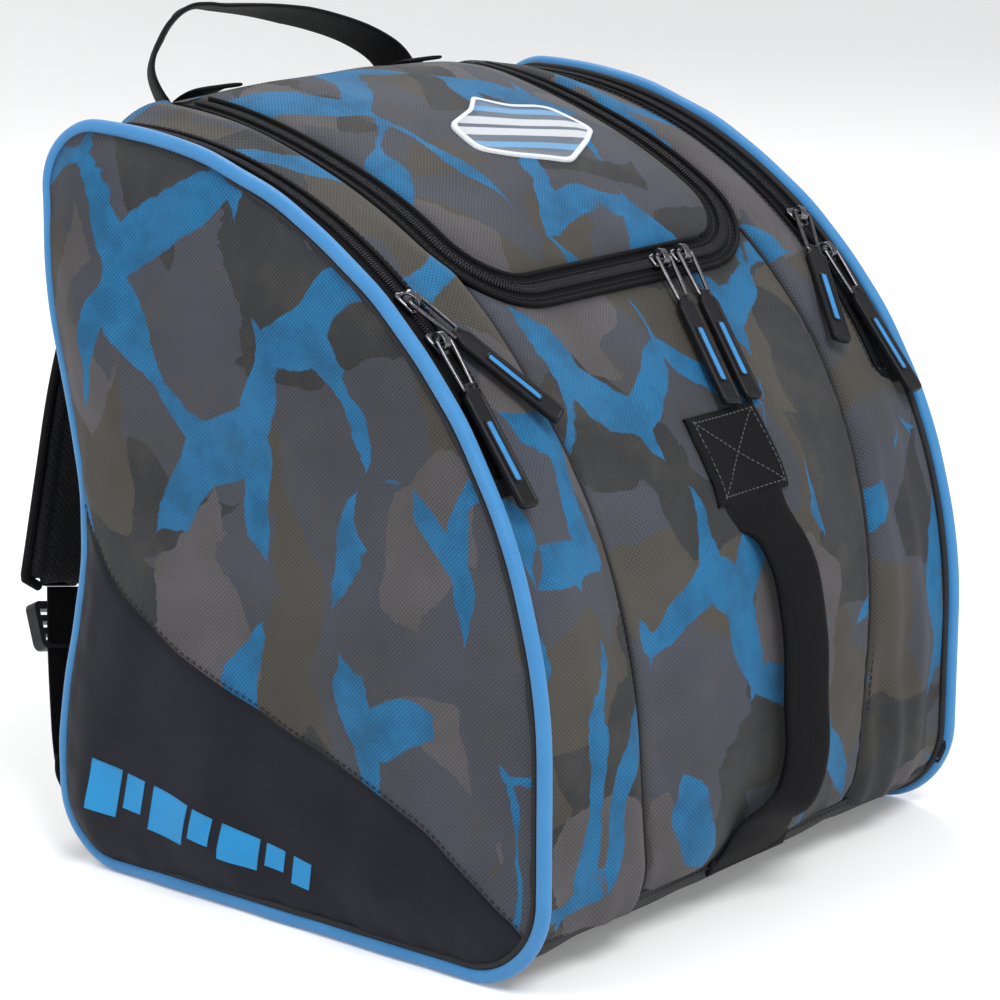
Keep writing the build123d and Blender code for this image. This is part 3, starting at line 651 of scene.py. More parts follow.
def metalMaterial():
    mat, tree, bsdf = newMaterial("gunmetal", 0.24, metal=1.0)
    at = put(tree, "ShaderNodeTexCoord").outputs["Object"]
    scuff = noise(tree, at, 240.0, 3.0, 0.55).outputs["Fac"]
    tree.links.new(ramp(tree, scuff, [(0.3, (0.105, 0.105, 0.12)), (0.75, (0.17, 0.165, 0.175))]),
                   bsdf.inputs["Base Color"])
    tree.links.new(maths(tree, "MULTIPLY_ADD", scuff, 0.2, 0.16), bsdf.inputs["Roughness"])
    bumpInto(tree, bsdf, scuff, 0.03, 0.0002)
    return mat


def rubberMaterial(name, colour, rough=0.5):
    mat, tree, bsdf = newMaterial(name, rough, specular=0.20)
    at = put(tree, "ShaderNodeTexCoord").outputs["Object"]
    grain = noise(tree, at, 1500.0, 3.0, 0.6).outputs["Fac"]
    haze = noise(tree, at, 120.0, 3.0, 0.6).outputs["Fac"]
    pale = tinted(colour, 1.7, 0.004)
    tree.links.new(mixColour(tree, haze, colour, pale), bsdf.inputs["Base Color"])
    tree.links.new(maths(tree, "MULTIPLY_ADD", haze, 0.3, rough - 0.15), bsdf.inputs["Roughness"])
    bumpInto(tree, bsdf, grain, 0.25, 0.0002)
    return mat


camoCloth = clothMaterial("camoCloth", True)
plainCloth = clothMaterial("slateCloth", False, palette["plain"], threads=900.0, rough=0.55, dust=0.02, relief=0.2,
                           bump=0.15,
                          sheen=0.0, specular=0.14)
blackCloth = clothMaterial("blackCloth", False, (0.012, 0.012, 0.014, 1), threads=700.0, rough=0.7, dust=0.03)
liningCloth = clothMaterial("liningCloth", False, (0.026, 0.027, 0.031, 1), threads=800.0, dust=0.03, relief=0.4)
meshCloth = clothMaterial("spacerMesh", False, (0.014, 0.014, 0.017, 1), threads=300.0, bump=0.9, dust=0.03,
                          relief=0.8)
tapeCloth = webbingMaterial("zipTape", (0.0045, 0.0045, 0.0055, 1), 900.0, 0.66)
blackWebbing = webbingMaterial("blackWebbing", (0.0038, 0.0038, 0.0046, 1), rough=0.72)
blackThread = rubberMaterial("blackThread", (0.012, 0.012, 0.014, 1), 0.6)
coilPlastic = rubberMaterial("coilPlastic", (0.014, 0.014, 0.016, 1), 0.36)
blueEdging = cordMaterial()
gunmetal = metalMaterial()
pullRubber = rubberMaterial("pullRubber", (0.0035, 0.0035, 0.0045, 1), 0.42)
pullBlue = rubberMaterial("pullBlue", (0.028, 0.165, 0.38, 1), 0.4)
printBlue = clothMaterial("printBlue", False, (0.014, 0.235, 0.520, 1), threads=900.0, rough=0.5, dust=0.02,
                          bump=0.1, relief=0.15)
badgeWhite = webbingMaterial("badgeWhite", (0.62, 0.66, 0.70, 1), 1100.0, 0.6)
blackPlastic = rubberMaterial("blackPlastic", (0.016, 0.016, 0.018, 1), 0.38)
threadGrey = rubberMaterial("greyThread", (0.05, 0.05, 0.055, 1), 0.6)
print("materials made")

# shell panels made of rows along the outline
lidHalf, band, lidR = shell["lidHalf"], shell["lidBand"], shell["lidCorner"]
sLidEdge = sLidFront - band       # lower edge of the lid's zip band
outerR = lidR + band


def seamX(s):
    # the front seams run in towards the bottom
    t = unit((s - sLipFront) / (sLidFront - sLipFront))
    return shell["seamLow"] + (shell["seamTop"] - shell["seamLow"]) * unit(t * 1.25) ** 0.8


def lidSideX(s):
    # outer edge of the lid's zip band, across from the middle, at a length along the outline
    t = np.clip(s - sLidEdge, 0, None)
    rounding = outerR - np.sqrt(np.clip(outerR ** 2 - np.clip(outerR - t, 0, None) ** 2, 0, None))
    return lidHalf + band - rounding


def gussetInner(s):
    inner = seamX(s)
    edge = lidSideX(s)
    return np.where((s > sLidEdge) & (edge > shell["seamTop"]), edge, inner)


def gusset(side):
    name = sideName[side]
    s = np.linspace(sLipFront - 0.004, sYokeEnd + 0.002, 190)
    t = np.linspace(0, 1, 26)
    inner = np.where(s > sHinge + 0.006, shell["seamTop"], gussetInner(s))
    zipEdge = shell["zipX"] - shell["zipHalf"] + 0.0005
    narrowed = unit((s - sFoldFront + 0.006) / 0.012)
    narrowed = narrowed * narrowed * (3 - 2 * narrowed)
    outer = shell["gussetEdge"] + (zipEdge - shell["gussetEdge"]) * narrowed
    x = inner[:, None] + (outer - inner)[:, None] * t[None]
    ss = np.broadcast_to(s[:, None], x.shape)
    fromSeam = x - inner[:, None]
    fromEdge = outer[:, None] - x
    share = unit(fromSeam / np.maximum(fromSeam + fromEdge, 1e-6))
    puff = 0.0040 * np.sin(share ** 0.72 * math.pi)
    seed = 5 if side < 0 else 11
    folds = ripple(x, ss * 0.35, 0.030, seed) * 0.0013 + ripple(x, ss, 0.075, seed + 1) * 0.0016
    if side > 0:
        folds = folds + 0.0013 * np.sin(x / 0.0125 * math.pi + ss * 9) * unit((0.34 - ss + sLipFront) / 0.2)
    flat = unit(fromEdge / 0.032)        # flat beside the zip, where the pulls lie
    calm = unit(fromSeam / 0.012) * flat
    dip = 0.0022 * np.exp(-fromSeam / 0.003) + 0.0010 * np.exp(-fromEdge / 0.003)
    inset = shell["skin"] - puff * flat - folds * calm + dip
    p = place(side * x, ss, inset)
    uv = np.stack([side * x, ss + 0.3], -1)
    # mask for painted seam shade beside the seam and the zip's edge
    marks = np.exp(-fromSeam / 0.0022) * 0.9 + 0.5 * np.exp(-fromEdge / 0.003)
    mid = p[95, 13] - np.array([0, 0.05, 0.12])
    obj = clothPanel(name + "Gusset", p, uv, shell["wall"], [camoCloth, liningCloth], marks, mid)
    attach(obj, "bag")
    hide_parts(name + "_gusset")
    line = np.stack([side * (inner + 0.0035), s], -1)[4:-2]
    thread = stitchRow(name + "GussetStitch", line, shell["skin"] - 0.0001, blackThread)
    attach(thread, "bag")


def zipBandEdge(x):
    # where the front panel meets the lid's zip band
    over = np.clip(np.abs(x) - lidHalf + lidR, 0, None)
    return sLidEdge + outerR - np.sqrt(np.clip(outerR ** 2 - over ** 2, 0, None))


def frontInset(x, ss):
    # how far in the front's face lies: it puffs low down and stays flat under the zip pulls
    half = seamX(ss)
    edge = np.clip(half - np.abs(x), 0, None)
    fromTop = np.clip(zipBandEdge(x) - ss, 0, None)
    fromLow = ss - sLipFront + 0.004
    lowDown = unit(fromTop / 0.11)
    puff = 0.0085 * (1 - unit(np.abs(x) / half) ** 2.4) ** 0.8 * unit(fromLow / 0.05) * lowDown ** 1.5
    folds = ripple(x * 1.5, ss * 0.5, 0.10, 21) * 0.0022 + ripple(x, ss * 0.4, 0.045, 22) * 0.0009
    folds = folds * (0.25 + 0.75 * lowDown) + 0.0012 * ripple(x, ss * 2.5, 0.028, 23) * np.exp(-edge / 0.014)
    calm = unit(edge / 0.010) * unit(fromTop / 0.012) * unit(fromLow / 0.01)
    return shell["skin"] - puff - folds * calm + 0.0022 * np.exp(-edge / 0.003) + 0.0018 * np.exp(-fromTop / 0.003)


def frontPanel():
    cols, rows = 76, 150
    half = 0.5 * (1 - np.cos(np.linspace(0, math.pi, cols)))
    u = (half * 2 - 1)
    t = np.linspace(0, 1, rows)
    top = zipBandEdge(u * shell["seamTop"])
    s0 = sLipFront - 0.004
    ss = s0 + (top[None] - s0) * t[:, None]
    x = u[None] * seamX(ss)
    edge = seamX(ss) - np.abs(x)
    fromTop = top[None] - ss
    p = place(x, ss, frontInset(x, ss))
    uv = np.stack([x + 0.6, ss + 0.1], -1)
    # mask for painted seam shade along the side seams and under the lid's zip band
    marks = np.exp(-edge / 0.0022) * 0.9 + 0.8 * np.exp(-fromTop / 0.004)
    obj = clothPanel("frontPanel", p, uv, shell["wall"], [camoCloth, liningCloth], marks, np.array([0, -1.0, 0.3]))
    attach(obj, "bag")
    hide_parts("centre_front_panel")
    for side in (-1, 1):
        s = np.linspace(sLipFront, sLidFront + 0.01, 90)
        seam = place(side * seamX(s), s, shell["skin"] + 0.0012)
        obj = tube("frontSeam" + sideName[side].capitalize(), seam, 0.0011, [blackThread], sides=8)
        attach(obj, "bag")


def yoke():
    s = np.linspace(sHinge + 0.002, sYokeEnd + 0.002, 40)
    x = np.linspace(-shell["seamTop"], shell["seamTop"], 60)
    xx, ss = np.meshgrid(x, s)
    edge = shell["seamTop"] - np.abs(xx)
    inset = shell["skin"] - 0.0015 * ripple(xx, ss, 0.07, 31) * unit(edge / 0.01) * unit((ss - s[0]) / 0.01)
    p = place(xx, ss, inset)
    # the mask given here sets painted seam shade along the yoke's seams
    obj = clothPanel("topYoke", p, np.stack([xx + 1.3, ss], -1), shell["wall"], [camoCloth, liningCloth],
                     np.exp(-edge / 0.002), np.array([0, 0.6, 1.0]))
    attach(obj, "bag")
    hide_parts("top_yoke")


def backAndBase():
    s = np.linspace(sYokeEnd + 0.002, sLipBack + 0.002, 110)
    x = np.linspace(-1, 1, 90)
    xx, ss = np.meshgrid(x, s)
    aboveFold = unit((sFoldBack - ss + 0.004) / 0.01)
    limit = shell["backEdge"] + (shell["zipX"] - shell["zipHalf"] + 0.0005 - shell["backEdge"]) * aboveFold
    xx = xx * limit
    inset = shell["skin"] + 0.0005 - 0.0018 * ripple(xx, ss, 0.09, 41)
    p = place(xx, ss, inset)
    # the mask given here sets painted seam shade along the back panel's edges
    obj = clothPanel("backPanel", p, np.stack([xx, ss], -1), shell["wall"], [blackCloth, liningCloth],
                     np.exp(-(limit - np.abs(xx)) / 0.003) * 0.6, np.array([0, 1.0, 0]))
    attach(obj, "bag")
    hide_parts("back_panel")
    s = np.linspace(sLipBack, loopLength + sLipFront, 150)
    x = np.linspace(-shell["baseEdge"], shell["baseEdge"], 50)
    xx, ss = np.meshgrid(x, s)
    rise = np.abs(ss - s[-1])
    inset = shell["skin"] - 0.0012 * unit(rise / 0.006) - 0.0008 * ripple(xx, ss, 0.06, 43)
    p = place(xx, ss, inset)
    # the mask given here sets painted seam shade where the base meets the front
    obj = clothPanel("basePanel", p, np.stack([xx, ss], -1), shell["wall"], [blackCloth, liningCloth],
                     np.exp(-rise / 0.003) * 0.8, np.array([0, 0, -1.0]))
    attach(obj, "bag")
    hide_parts("base_panel", "base_stiffener")
    # flat pad the bag stands on
    lo = Vector((-shell["padHalf"], frontY + shell["bottomFront"], 0.0))
    hi = Vector((shell["padHalf"], backY - shell["bottomBack"], lowZ + 0.0022))
    roundPad("basePad", lo, hi, 0.016, 0.0025, [blackCloth], "bag", 2)
    path = np.stack([np.linspace(-0.165, 0.165, 60), np.full(60, sLipFront - 0.003)], -1)
    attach(stitchRow("baseLipStitch", path, shell["skin"] - 0.0016, blackThread), "bag")


def roundPad(name, lo, hi, corner, bevel, materials, body, axis, crown=0.0, bend=False):
    # a flat rounded pad, thin along the axis given
    others = [k for k in range(3) if k != axis]
    cu, cv = ((lo[k] + hi[k]) / 2 for k in others)
    hu, hv = ((hi[k] - lo[k]) / 2 for k in others)
    rim = []
    for qx, qy, a0 in ((1, 1, 0), (-1, 1, 90), (-1, -1, 180), (1, -1, 270)):
        for a in np.linspace(math.radians(a0), math.radians(a0 + 90), 7):
            rim.append((qx * (hu - corner) + corner * math.cos(a), qy * (hv - corner) + corner * math.sin(a)))
    dense = []
    for a, b in zip(rim, rim[1:] + rim[:1]):
        steps = max(1, int(math.dist(a, b) / 0.008))
        dense += [(a[0] + (b[0] - a[0]) * t / steps, a[1] + (b[1] - a[1]) * t / steps) for t in range(steps)]
    rim = np.array(dense)
    rows = []
    depth = hi[axis] - lo[axis]
    shares = (0.85, 0.70, 0.55, 0.40, 0.25, 0.10)
    rows += [(share, 0.0) for share in shares[::-1]]
    for inset, up in ((bevel, 0.0), (0.0, bevel), (bevel * 0.3, depth - bevel), (bevel * 0.9, depth - bevel * 0.3),
                      (bevel * 1.9, depth)):
        rows.append((1 - inset / min(hu, hv), up))
    rows += [(share, depth + crown * (1 - share ** 2)) for share in shares]
    points, uvs = [], []
    for share, up in rows:
        for a, b in rim:
            q = [0, 0, 0]
            q[others[0]], q[others[1]] = cu + a * share, cv + b * share
            q[axis] = lo[axis] + up
            points.append(q)
            uvs.append((q[others[0]], q[others[1]]))
    count = len(rim)
    points = np.array(points)
    if bend:
        points = soften(points)
    turn = axis == 1
    faces = gridFaces(len(rows), count, closeCols=True, flip=turn)
    faces += [tuple(range(count))[::(1 if turn else -1)],
              tuple((len(rows) - 1) * count + c for c in range(count))[::(-1 if turn else 1)]]
    obj = makeMesh(name, points, faces, np.array(uvs), None, materials)
    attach(obj, body)
    return obj


padding = {"voxel": 0.0050, "pressure": 4.0, "frames": 20, "cap": 0.006}


def settled(obj):
    # the object's modifiers worked into its mesh
    graph = bpy.context.evaluated_depsgraph_get()
    mesh = bpy.data.meshes.new_from_object(obj.evaluated_get(graph))
    obj.modifiers.clear()
    obj.data = mesh


def points(mesh):
    co = np.empty(len(mesh.vertices) * 3, np.float32)
    mesh.vertices.foreach_get("co", co)
    return co.reshape(-1, 3).astype(float)


def faceOut(mesh):
    # pressure needs faces that point outwards
    shape = bmesh.new()
    shape.from_mesh(mesh)
    if shape.calc_volume(signed=True) < 0:
        bmesh.ops.reverse_faces(shape, faces=shape.faces)
        shape.to_mesh(mesh)
    shape.free()


def inflate(obj, holdBelow, uvOf, channels):
    # a pad swells under pressure while its sewn side stays put; then its channels are sewn in
    even = obj.modifiers.new("even", "REMESH")
    even.mode, even.voxel_size = "VOXEL", padding["voxel"]
    settled(obj)
    faceOut(obj.data)
    start = points(obj.data)
    group = obj.vertex_groups.new(name="sewn")
    group.add([int(i) for i in np.nonzero(holdBelow(start))[0]], 1.0, "REPLACE")
    cloth = obj.modifiers.new("swell", "CLOTH")
    cloth.settings.use_pressure = True
    cloth.settings.uniform_pressure_force = padding["pressure"]
    cloth.settings.effector_weights.gravity = 0
    cloth.settings.vertex_group_mass = "sewn"
    cloth.point_cache.frame_end = padding["frames"]
    for step in range(1, padding["frames"] + 1):
        bpy.context.scene.frame_set(step)
    settled(obj)
    bpy.context.scene.frame_set(1)
    end = points(obj.data)
    move = end - start
    far = np.linalg.norm(move, axis=1, keepdims=True)
    end = start + move * np.minimum(1, padding["cap"] / np.maximum(far, 1e-9))
    obj.data.vertices.foreach_set("co", end.astype(np.float32).ravel())
    obj.vertex_groups.clear()
    obj.modifiers.new("finer", "SUBSURF").levels = 1
    settled(obj)
    mesh = obj.data
    co = points(mesh)
    normals = np.empty(len(mesh.vertices) * 3, np.float32)
    mesh.vertices.foreach_get("normal", normals)
    uv = uvOf(co)
    co = co - normals.reshape(-1, 3) * channels(uv)[:, None]
    mesh.vertices.foreach_set("co", co.astype(np.float32).ravel())
    layer = mesh.uv_layers.get("Cloth") or mesh.uv_layers.new(name="Cloth")
    index = np.zeros(len(mesh.loops), np.int32)
    mesh.loops.foreach_get("vertex_index", index)
    layer.uv.foreach_set("vector", uv.astype(np.float32)[index].ravel())
    mesh.polygons.foreach_set("use_smooth", [True] * len(mesh.polygons))
    mesh.update()


gusset(-1)
gusset(1)
frontPanel()
yoke()
backAndBase()
print("shell panels made")

# lid and its zip
lid = {"crown": 0.009, "rearOver": 0.004, "coilPitch": 0.0016, "coilInset": 0.0006, "tapeInset": 0.0030,
       "tapeThick": 0.0009, "coilOffset": 0.0011, "coilWide": 0.0034, "coilThick": 0.0016, "rearGap": 0.004,
       "stitchAt": 0.0052, "frameRadius": 0.0013, "coilGap": 0.00015}


def lidRow(t, reduce):
    # half width of the lid at a distance behind its front edge, `reduce` inside the coil
    r = lidR - reduce
    rounding = r - np.sqrt(np.clip(r ** 2 - np.clip(r - t, 0, None) ** 2, 0, None))
    return lidHalf - reduce - rounding


def overHinge(obj, body):
    # what moves with the lid has its placement worked into its mesh and is attached to no body; anything else is
    # attached to the body named
    if body == "lid":
        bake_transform(obj)
    else:
        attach(obj, body)


def lidInset(x, s, edge):
    # how far in the lid's face lies, its dome counted
    rear = sHinge + lid["rearOver"] - s
    dome = lid["crown"] * unit(edge / 0.05) ** 0.55 * unit(rear / 0.04) ** 0.7
    folds = ripple(x, s, 0.085, 51) * 0.0012 * unit(edge / 0.015) * unit(rear / 0.02)
    return shell["skin"] - dome - folds


def makeLid():
    s0 = sLidFront + band - 0.0008
    t = (sHinge + lid["rearOver"] - s0) * (0.5 * (1 - np.cos(np.linspace(0, math.pi, 90))))
    u = -np.cos(np.linspace(0, math.pi, 64))
    half = lidRow(t, band - 0.0008)
    x = u[None] * half[:, None]
    ss = s0 + t[:, None] + 0 * x
    edge = np.minimum(half[:, None] - np.abs(x), t[:, None] + 0 * x)
    p = place(x, ss, lidInset(x, ss, edge) + 0.0012 * np.exp(-edge / 0.002))
    # mask for painted seam shade round the lid's edge
    marks = np.exp(-edge / 0.003) * 0.8
    obj = clothPanel("lidPanel", p, np.stack([x + 2.1, ss + 0.7], -1), shell["wall"], [camoCloth, liningCloth],
                     marks,
                     np.array([0, -0.5, 1.0]))
    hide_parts("lid_panel")
    overHinge(obj, "lid")


def lidPath(reduce, rearGap=0.0):
    # the U of the zip: up the left side, round the front, back along the right side
    r = lidR - reduce
    w = lidHalf - reduce
    sFront = sLidFront + reduce
    pts = [(-w, s) for s in np.linspace(sHinge - rearGap, sFront + r, 60)]
    pts += [(-w + r - r * math.cos(a), sFront + r - r * math.sin(a)) for a in np.linspace(0, math.pi / 2, 16)[1:]]
    pts += [(x, sFront) for x in np.linspace(-w + r, w - r, 40)[1:]]
    pts += [(w - r + r * math.sin(a), sFront + r - r * math.cos(a)) for a in np.linspace(0, math.pi / 2, 16)[1:]]
    pts += [(w, s) for s in np.linspace(sFront + r, sHinge - rearGap, 60)[1:]]
    return np.array(pts)


def tapeBetween(name, pathA, pathB, insetA, insetB, thick, material, across=5):
    # a thin strip between two lines drawn on the shell
    a, b = np.asarray(pathA), np.asarray(pathB)
    t = np.linspace(0, 1, across)
    xy = a[:, None] + (b - a)[:, None] * t[None, :, None]
    inset = insetA + (insetB - insetA) * t[None] + 0 * xy[..., 0]
    p = place(xy[..., 0], xy[..., 1], inset)
    run = lengths(a)
    wide = np.linalg.norm(b - a, axis=1).mean()
    uv = np.stack([t[None] * wide + 0 * run[:, None], run[:, None] + 0 * t[None]], -1)
    mid = len(a) // 2
    out = place(xy[mid, 0, 0], xy[mid, 0, 1], -0.01) - place(xy[mid, 0, 0], xy[mid, 0, 1], 0.01)
    return clothPanel(name, p, uv, thick, [material], None, out)


def coilRow(name, path, offset, shift, body, pitch):
    c, t, w, u = shellRow(path, lid["coilInset"] + 0.0006, pitch, offset, shift)
    obj = beads(name, c, t, w, u, (lid["coilWide"], pitch * 0.42, lid["coilThick"]), [coilPlastic])
    overHinge(obj, body)


def lidZip():
    for name, body, near, far, node, side in (
            ("lidZipBagTape", "bag", -lid["coilGap"], -band - 0.0006, "lid_zip_fixed", 1),
            ("lidZipLidTape", "lid", lid["coilGap"], band + 0.0006, "lid_zip_moving", -1)):
        obj = tapeBetween(name, lidPath(near, lid["rearGap"]), lidPath(far, lid["rearGap"]),
                          lid["tapeInset"] - 0.0004,
                          shell["skin"] + 0.0004 if body == "bag" else shell["skin"] + 0.0006, lid["tapeThick"],
                          tapeCloth)
        overHinge(obj, body)
        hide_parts(node)
        coilRow(name.replace("Tape", "Coil"), lidPath(0.0, 0.005), lid["coilOffset"] * side,
                0.0 if side > 0 else lid["coilPitch"] / 2, body, lid["coilPitch"])
    # folded edge of the cover tape that frames the opening
    for reduce, name in ((-band - 0.0002, "lidFrameBag"), (band + 0.0004, "lidFrameLid")):
        path = lidPath(reduce, lid["rearGap"])
        line = place(path[:, 0], path[:, 1], shell["skin"] - 0.0004)
        obj = tube(name, line, lid["frameRadius"], [blackWebbing], sides=8)
        overHinge(obj, "bag" if reduce < 0 else "lid")
    for turn, name, body in ((-1, "lidTapeStitchBag", "bag"), (1, "lidTapeStitchLid", "lid")):
        line = lidPath(turn * lid["stitchAt"], 0.006)
        overHinge(stitchRow(name, line, shell["skin"] + 0.0004, blackThread, pitch=0.0034), body)


makeLid()
lidZip()
print("lid made")

# side zips
def sideZip(side):
    name = sideName[side]
    s = np.linspace(sFoldFront + 0.001, sFoldBack - 0.001, 200)
    zx, half = shell["zipX"], shell["zipHalf"]

    def line(x):
        return np.stack([np.full_like(s, side * x), s], -1)

    for label, body, a, b, node, turn in (
            ("ZipBagTape", "bag", zx - lid["coilGap"], zx - half, "side_zip_fixed", 1),
            ("ZipFlapTape", name + "_flap", zx + lid["coilGap"], shell["tapeEdge"], "side_zip_moving", -1)):
        obj = tapeBetween(name + label, line(a), line(b), lid["tapeInset"] - 0.0004, shell["skin"] + 0.0006,
                          lid["tapeThick"], tapeCloth)
        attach(obj, body)
        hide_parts(name + "_" + node)
        pitch = shell["sideCoilPitch"]
        coilRow(name + label.replace("Tape", "Coil"), line(zx), -turn * lid["coilOffset"] * side,
                0.0 if turn > 0 else pitch / 2, body, pitch)
    edge = place(side * (zx - half - 0.0002), s, shell["skin"] - 0.0003)
    obj = tube(name + "ZipFrame", edge, 0.0011, [blackWebbing], sides=8)
    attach(obj, "bag")
    stitch = stitchRow(name + "ZipStitch", line(zx - half - 0.0028), shell["skin"] - 0.0002, blackThread,
                       pitch=0.0036)
    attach(stitch, "bag")
    # sewn stop at each lower end
    for end, at in (("Front", sFoldFront - 0.003), ("Back", sFoldBack + 0.003)):
        path = place(side * np.linspace(zx - shell["stopHalf"], zx + shell["stopHalf"], 12), at,
                     shell["skin"] - 0.0004)
        along = place(side * zx, at + 0.002, 0.0) - place(side * zx, at - 0.002, 0.0)
        obj = strip(name + "ZipStop" + end, path, along, 0.009, 0.0016, [blackWebbing])
        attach(obj, "bag")


sideZip(-1)
sideZip(1)
print("side zips made")

# side panels: a pillowed face inside the edging
sidePanel = {"pillow": 0.012, "width": 0.055, "underX": 0.0014, "edge": 0.0012, "cordRadius": 0.0037,
             "cordWander": 0.00024}
seamKnots = np.array([(0.166, 0.205), (0.130, 0.175), (0.118, 0.161), (0.097, 0.148), (0.066, 0.130),
                      (0.033, 0.115),
                      (-0.007, 0.100), (-0.045, 0.088), (-0.083, 0.072), (-0.113, 0.056), (-0.137, 0.039),
                      (-0.151, 0.025),
                      (-0.162, 0.010)])


def shellColumns(cols, edge):
    # heights of the outline's lower and upper run at even-angled steps from front to back
    y0, y1 = frontY + edge, backY - edge
    y = (y0 + y1) / 2 - (y1 - y0) / 2 * np.cos(np.linspace(0, math.pi, cols))
    y[0], y[-1] = y0 + 2e-5, y1 - 2e-5
    fine = np.linspace(0, loopLength, 4000)
    p, n = alongLoop(fine)
    p = p - n * edge
    low, high = [], []
    for v in y:
        near = np.abs(p[:, 0] - v) < 0.0012
        zs = p[near, 1]
        if v < frontY + 0.01 or v > backY - 0.01:
            zs = p[np.argsort(np.abs(p[:, 0] - v))[:1200], 1] if not len(zs) else zs
        low.append(zs.min())
        high.append(zs.max())
    return y, np.array(low), np.array(high)


def sideSurface(side, y, z):
    # bulged face of the side, as points in space
    fine = np.linspace(0, loopLength, 700)
    p, _ = alongLoop(fine)
    flat = np.stack([y.ravel(), z.ravel()], -1)
    d = np.sqrt(((flat[:, None] - p[None]) ** 2).sum(-1)).min(1).reshape(y.shape)
    back = unit((y - 0.02) / 0.12)
    rise = sidePanel["pillow"] * (0.75 + 0.45 * back)
    width = sidePanel["width"]
    e = unit(d / width)
    dome = rise * np.sqrt(1 - (1 - e) ** 2)
    seed = 61 if side < 0 else 71
    pucker = ripple(y, z, 0.024, seed) * 0.0011 * np.exp(-d / 0.014) * unit((d - 0.002) / 0.004)
    soft = (ripple(y, z, 0.13, seed + 1) * 0.0026 * unit(d / 0.03)
            + ripple(y, z, 0.055, seed + 2) * 0.0009 * unit(d / 0.02))
    x = halfX - sidePanel["underX"] + dome + pucker + soft
    pts = soften(np.stack([side * x, y, z], -1))
    return pts, d


def overFold(obj):
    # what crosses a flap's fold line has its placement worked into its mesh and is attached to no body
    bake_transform(obj)


def makeSide(side):
    name = sideName[side]
    cols = 110
    y, low, high = shellColumns(cols, sidePanel["edge"])
    order = np.argsort(seamKnots[:, 0])
    seam = smoothPath(seamKnots[order], 200)
    seamZ = np.clip(np.interp(y, seam[:, 0], seam[:, 1]), low + 0.0005, high - 0.0005)
    for label, z0, z1, rows, material, slotName in (
            ("SidePanel", seamZ, high, 84, camoCloth, "patterned_fabric"),
            ("LowerPanel", low, seamZ, 44, plainCloth, "plain_fabric")):
        t = np.linspace(0, 1, rows)
        zz = z0[None] + (z1 - z0)[None] * t[:, None]
        yy = np.broadcast_to(y[None], zz.shape)
        p, d = sideSurface(side, yy, zz)
        fromSeam = np.abs(zz - seamZ[None])
        p[..., 0] -= side * (0.0013 * np.exp(-fromSeam / 0.0022) + (0.0006 if label == "LowerPanel" else 0))
        # mask for painted seam shade beside the edging and along the curved seam
        marks = 0.75 * np.exp(-np.clip(d - 0.004, 0, None) / 0.0022) + 0.55 * np.exp(-fromSeam / 0.0013)
        uv = np.stack([yy * side + (0.2 if side < 0 else 3.3), zz + 1.9], -1)
        obj = clothPanel(name + label, p, uv, shell["wall"] * 0.7, [material, liningCloth], marks,
                         np.array([side, 0, 0.0]))
        if label == "SidePanel":
            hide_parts(name + "_side_panel", name + "_flap_panel")
            overFold(obj)
        else:
            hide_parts(name + "_lower_panel")
            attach(obj, "bag")
    # sewn line along the curved seam
    inside = (y > frontY + 0.006) & (y < backY - 0.006)
    line, _ = sideSurface(side, y[inside][None], (seamZ[inside] + 0.0030)[None])
    line = line[0]
    run = lengths(line)
    at = np.arange(0.002, run[-1], 0.0040)
    c = np.stack([np.interp(at, run, line[:, k]) for k in range(3)], -1)
    t = np.gradient(c, axis=0)
    t /= np.linalg.norm(t, axis=1, keepdims=True)
    up = np.tile((side * 1.0, 0, 0), (len(c), 1))
    w = np.cross(up, t)
    c = c + up * 0.0002
    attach(beads(name + "SeamStitch", c, t, w, up, (0.0008, 0.0028, 0.0008), [blackThread], 0.9), "bag")


def edging(side):
    name = sideName[side]
    s = np.linspace(0, loopLength, 900, endpoint=False)
    path = place(np.full_like(s, side * halfX), s, 0.0)
    wander = [ripple(s, s * 0, size, seed) for size, seed in ((0.05, 81), (0.06, 82), (0.055, 83))]
    path += sidePanel["cordWander"] * np.stack(wander, -1)
    path[:, 2] = np.maximum(path[:, 2], sidePanel["cordRadius"] + 0.0001)
    obj = tube(name + "Edging", path, sidePanel["cordRadius"], [blueEdging], closed=True, sides=16)
    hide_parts(name + "_piping", name + "_flap_piping")
    overFold(obj)
    # sewn flange each side of the cord
    for label, dx, inset in (("Inner", 0.0012, 0.0049), ("Outer", -0.0045, 0.0014)):
        line = place(np.full_like(s, side * (halfX + dx)), s, inset)
        obj = tube(name + "EdgingFlange" + label, line, 0.0019, [blackThread], closed=True, sides=8)
        overFold(obj)


for side in (-1, 1):
    makeSide(side)
    edging(side)
print("sides made")

# moulded and metal parts
def roundedRim(corners, radii, steps=6):
    # closed outline, anticlockwise, with its corners rounded
    corners = np.asarray(corners, float)
    radii = np.broadcast_to(np.asarray(radii, float), (len(corners),))
    out = []
    for i, c in enumerate(corners):
        a, b = corners[i - 1] - c, corners[(i + 1) % len(corners)] - c
        la, lb = np.linalg.norm(a), np.linalg.norm(b)
        cut = min(radii[i], la * 0.48, lb * 0.48)
        p, q = c + a / la * cut, c + b / lb * cut
        for t in np.linspace(0, 1, steps):
            out.append((1 - t) ** 2 * p + 2 * t * (1 - t) * c + t ** 2 * q)
    keep = [out[0]]
    for p in out[1:]:
        if np.linalg.norm(p - keep[-1]) > 1e-5:
            keep.append(p)
    return np.array(keep)


def inFrame(matrix, points):
    m = np.array(matrix)
    return np.asarray(points, float) @ m[:3, :3].T + m[:3, 3]


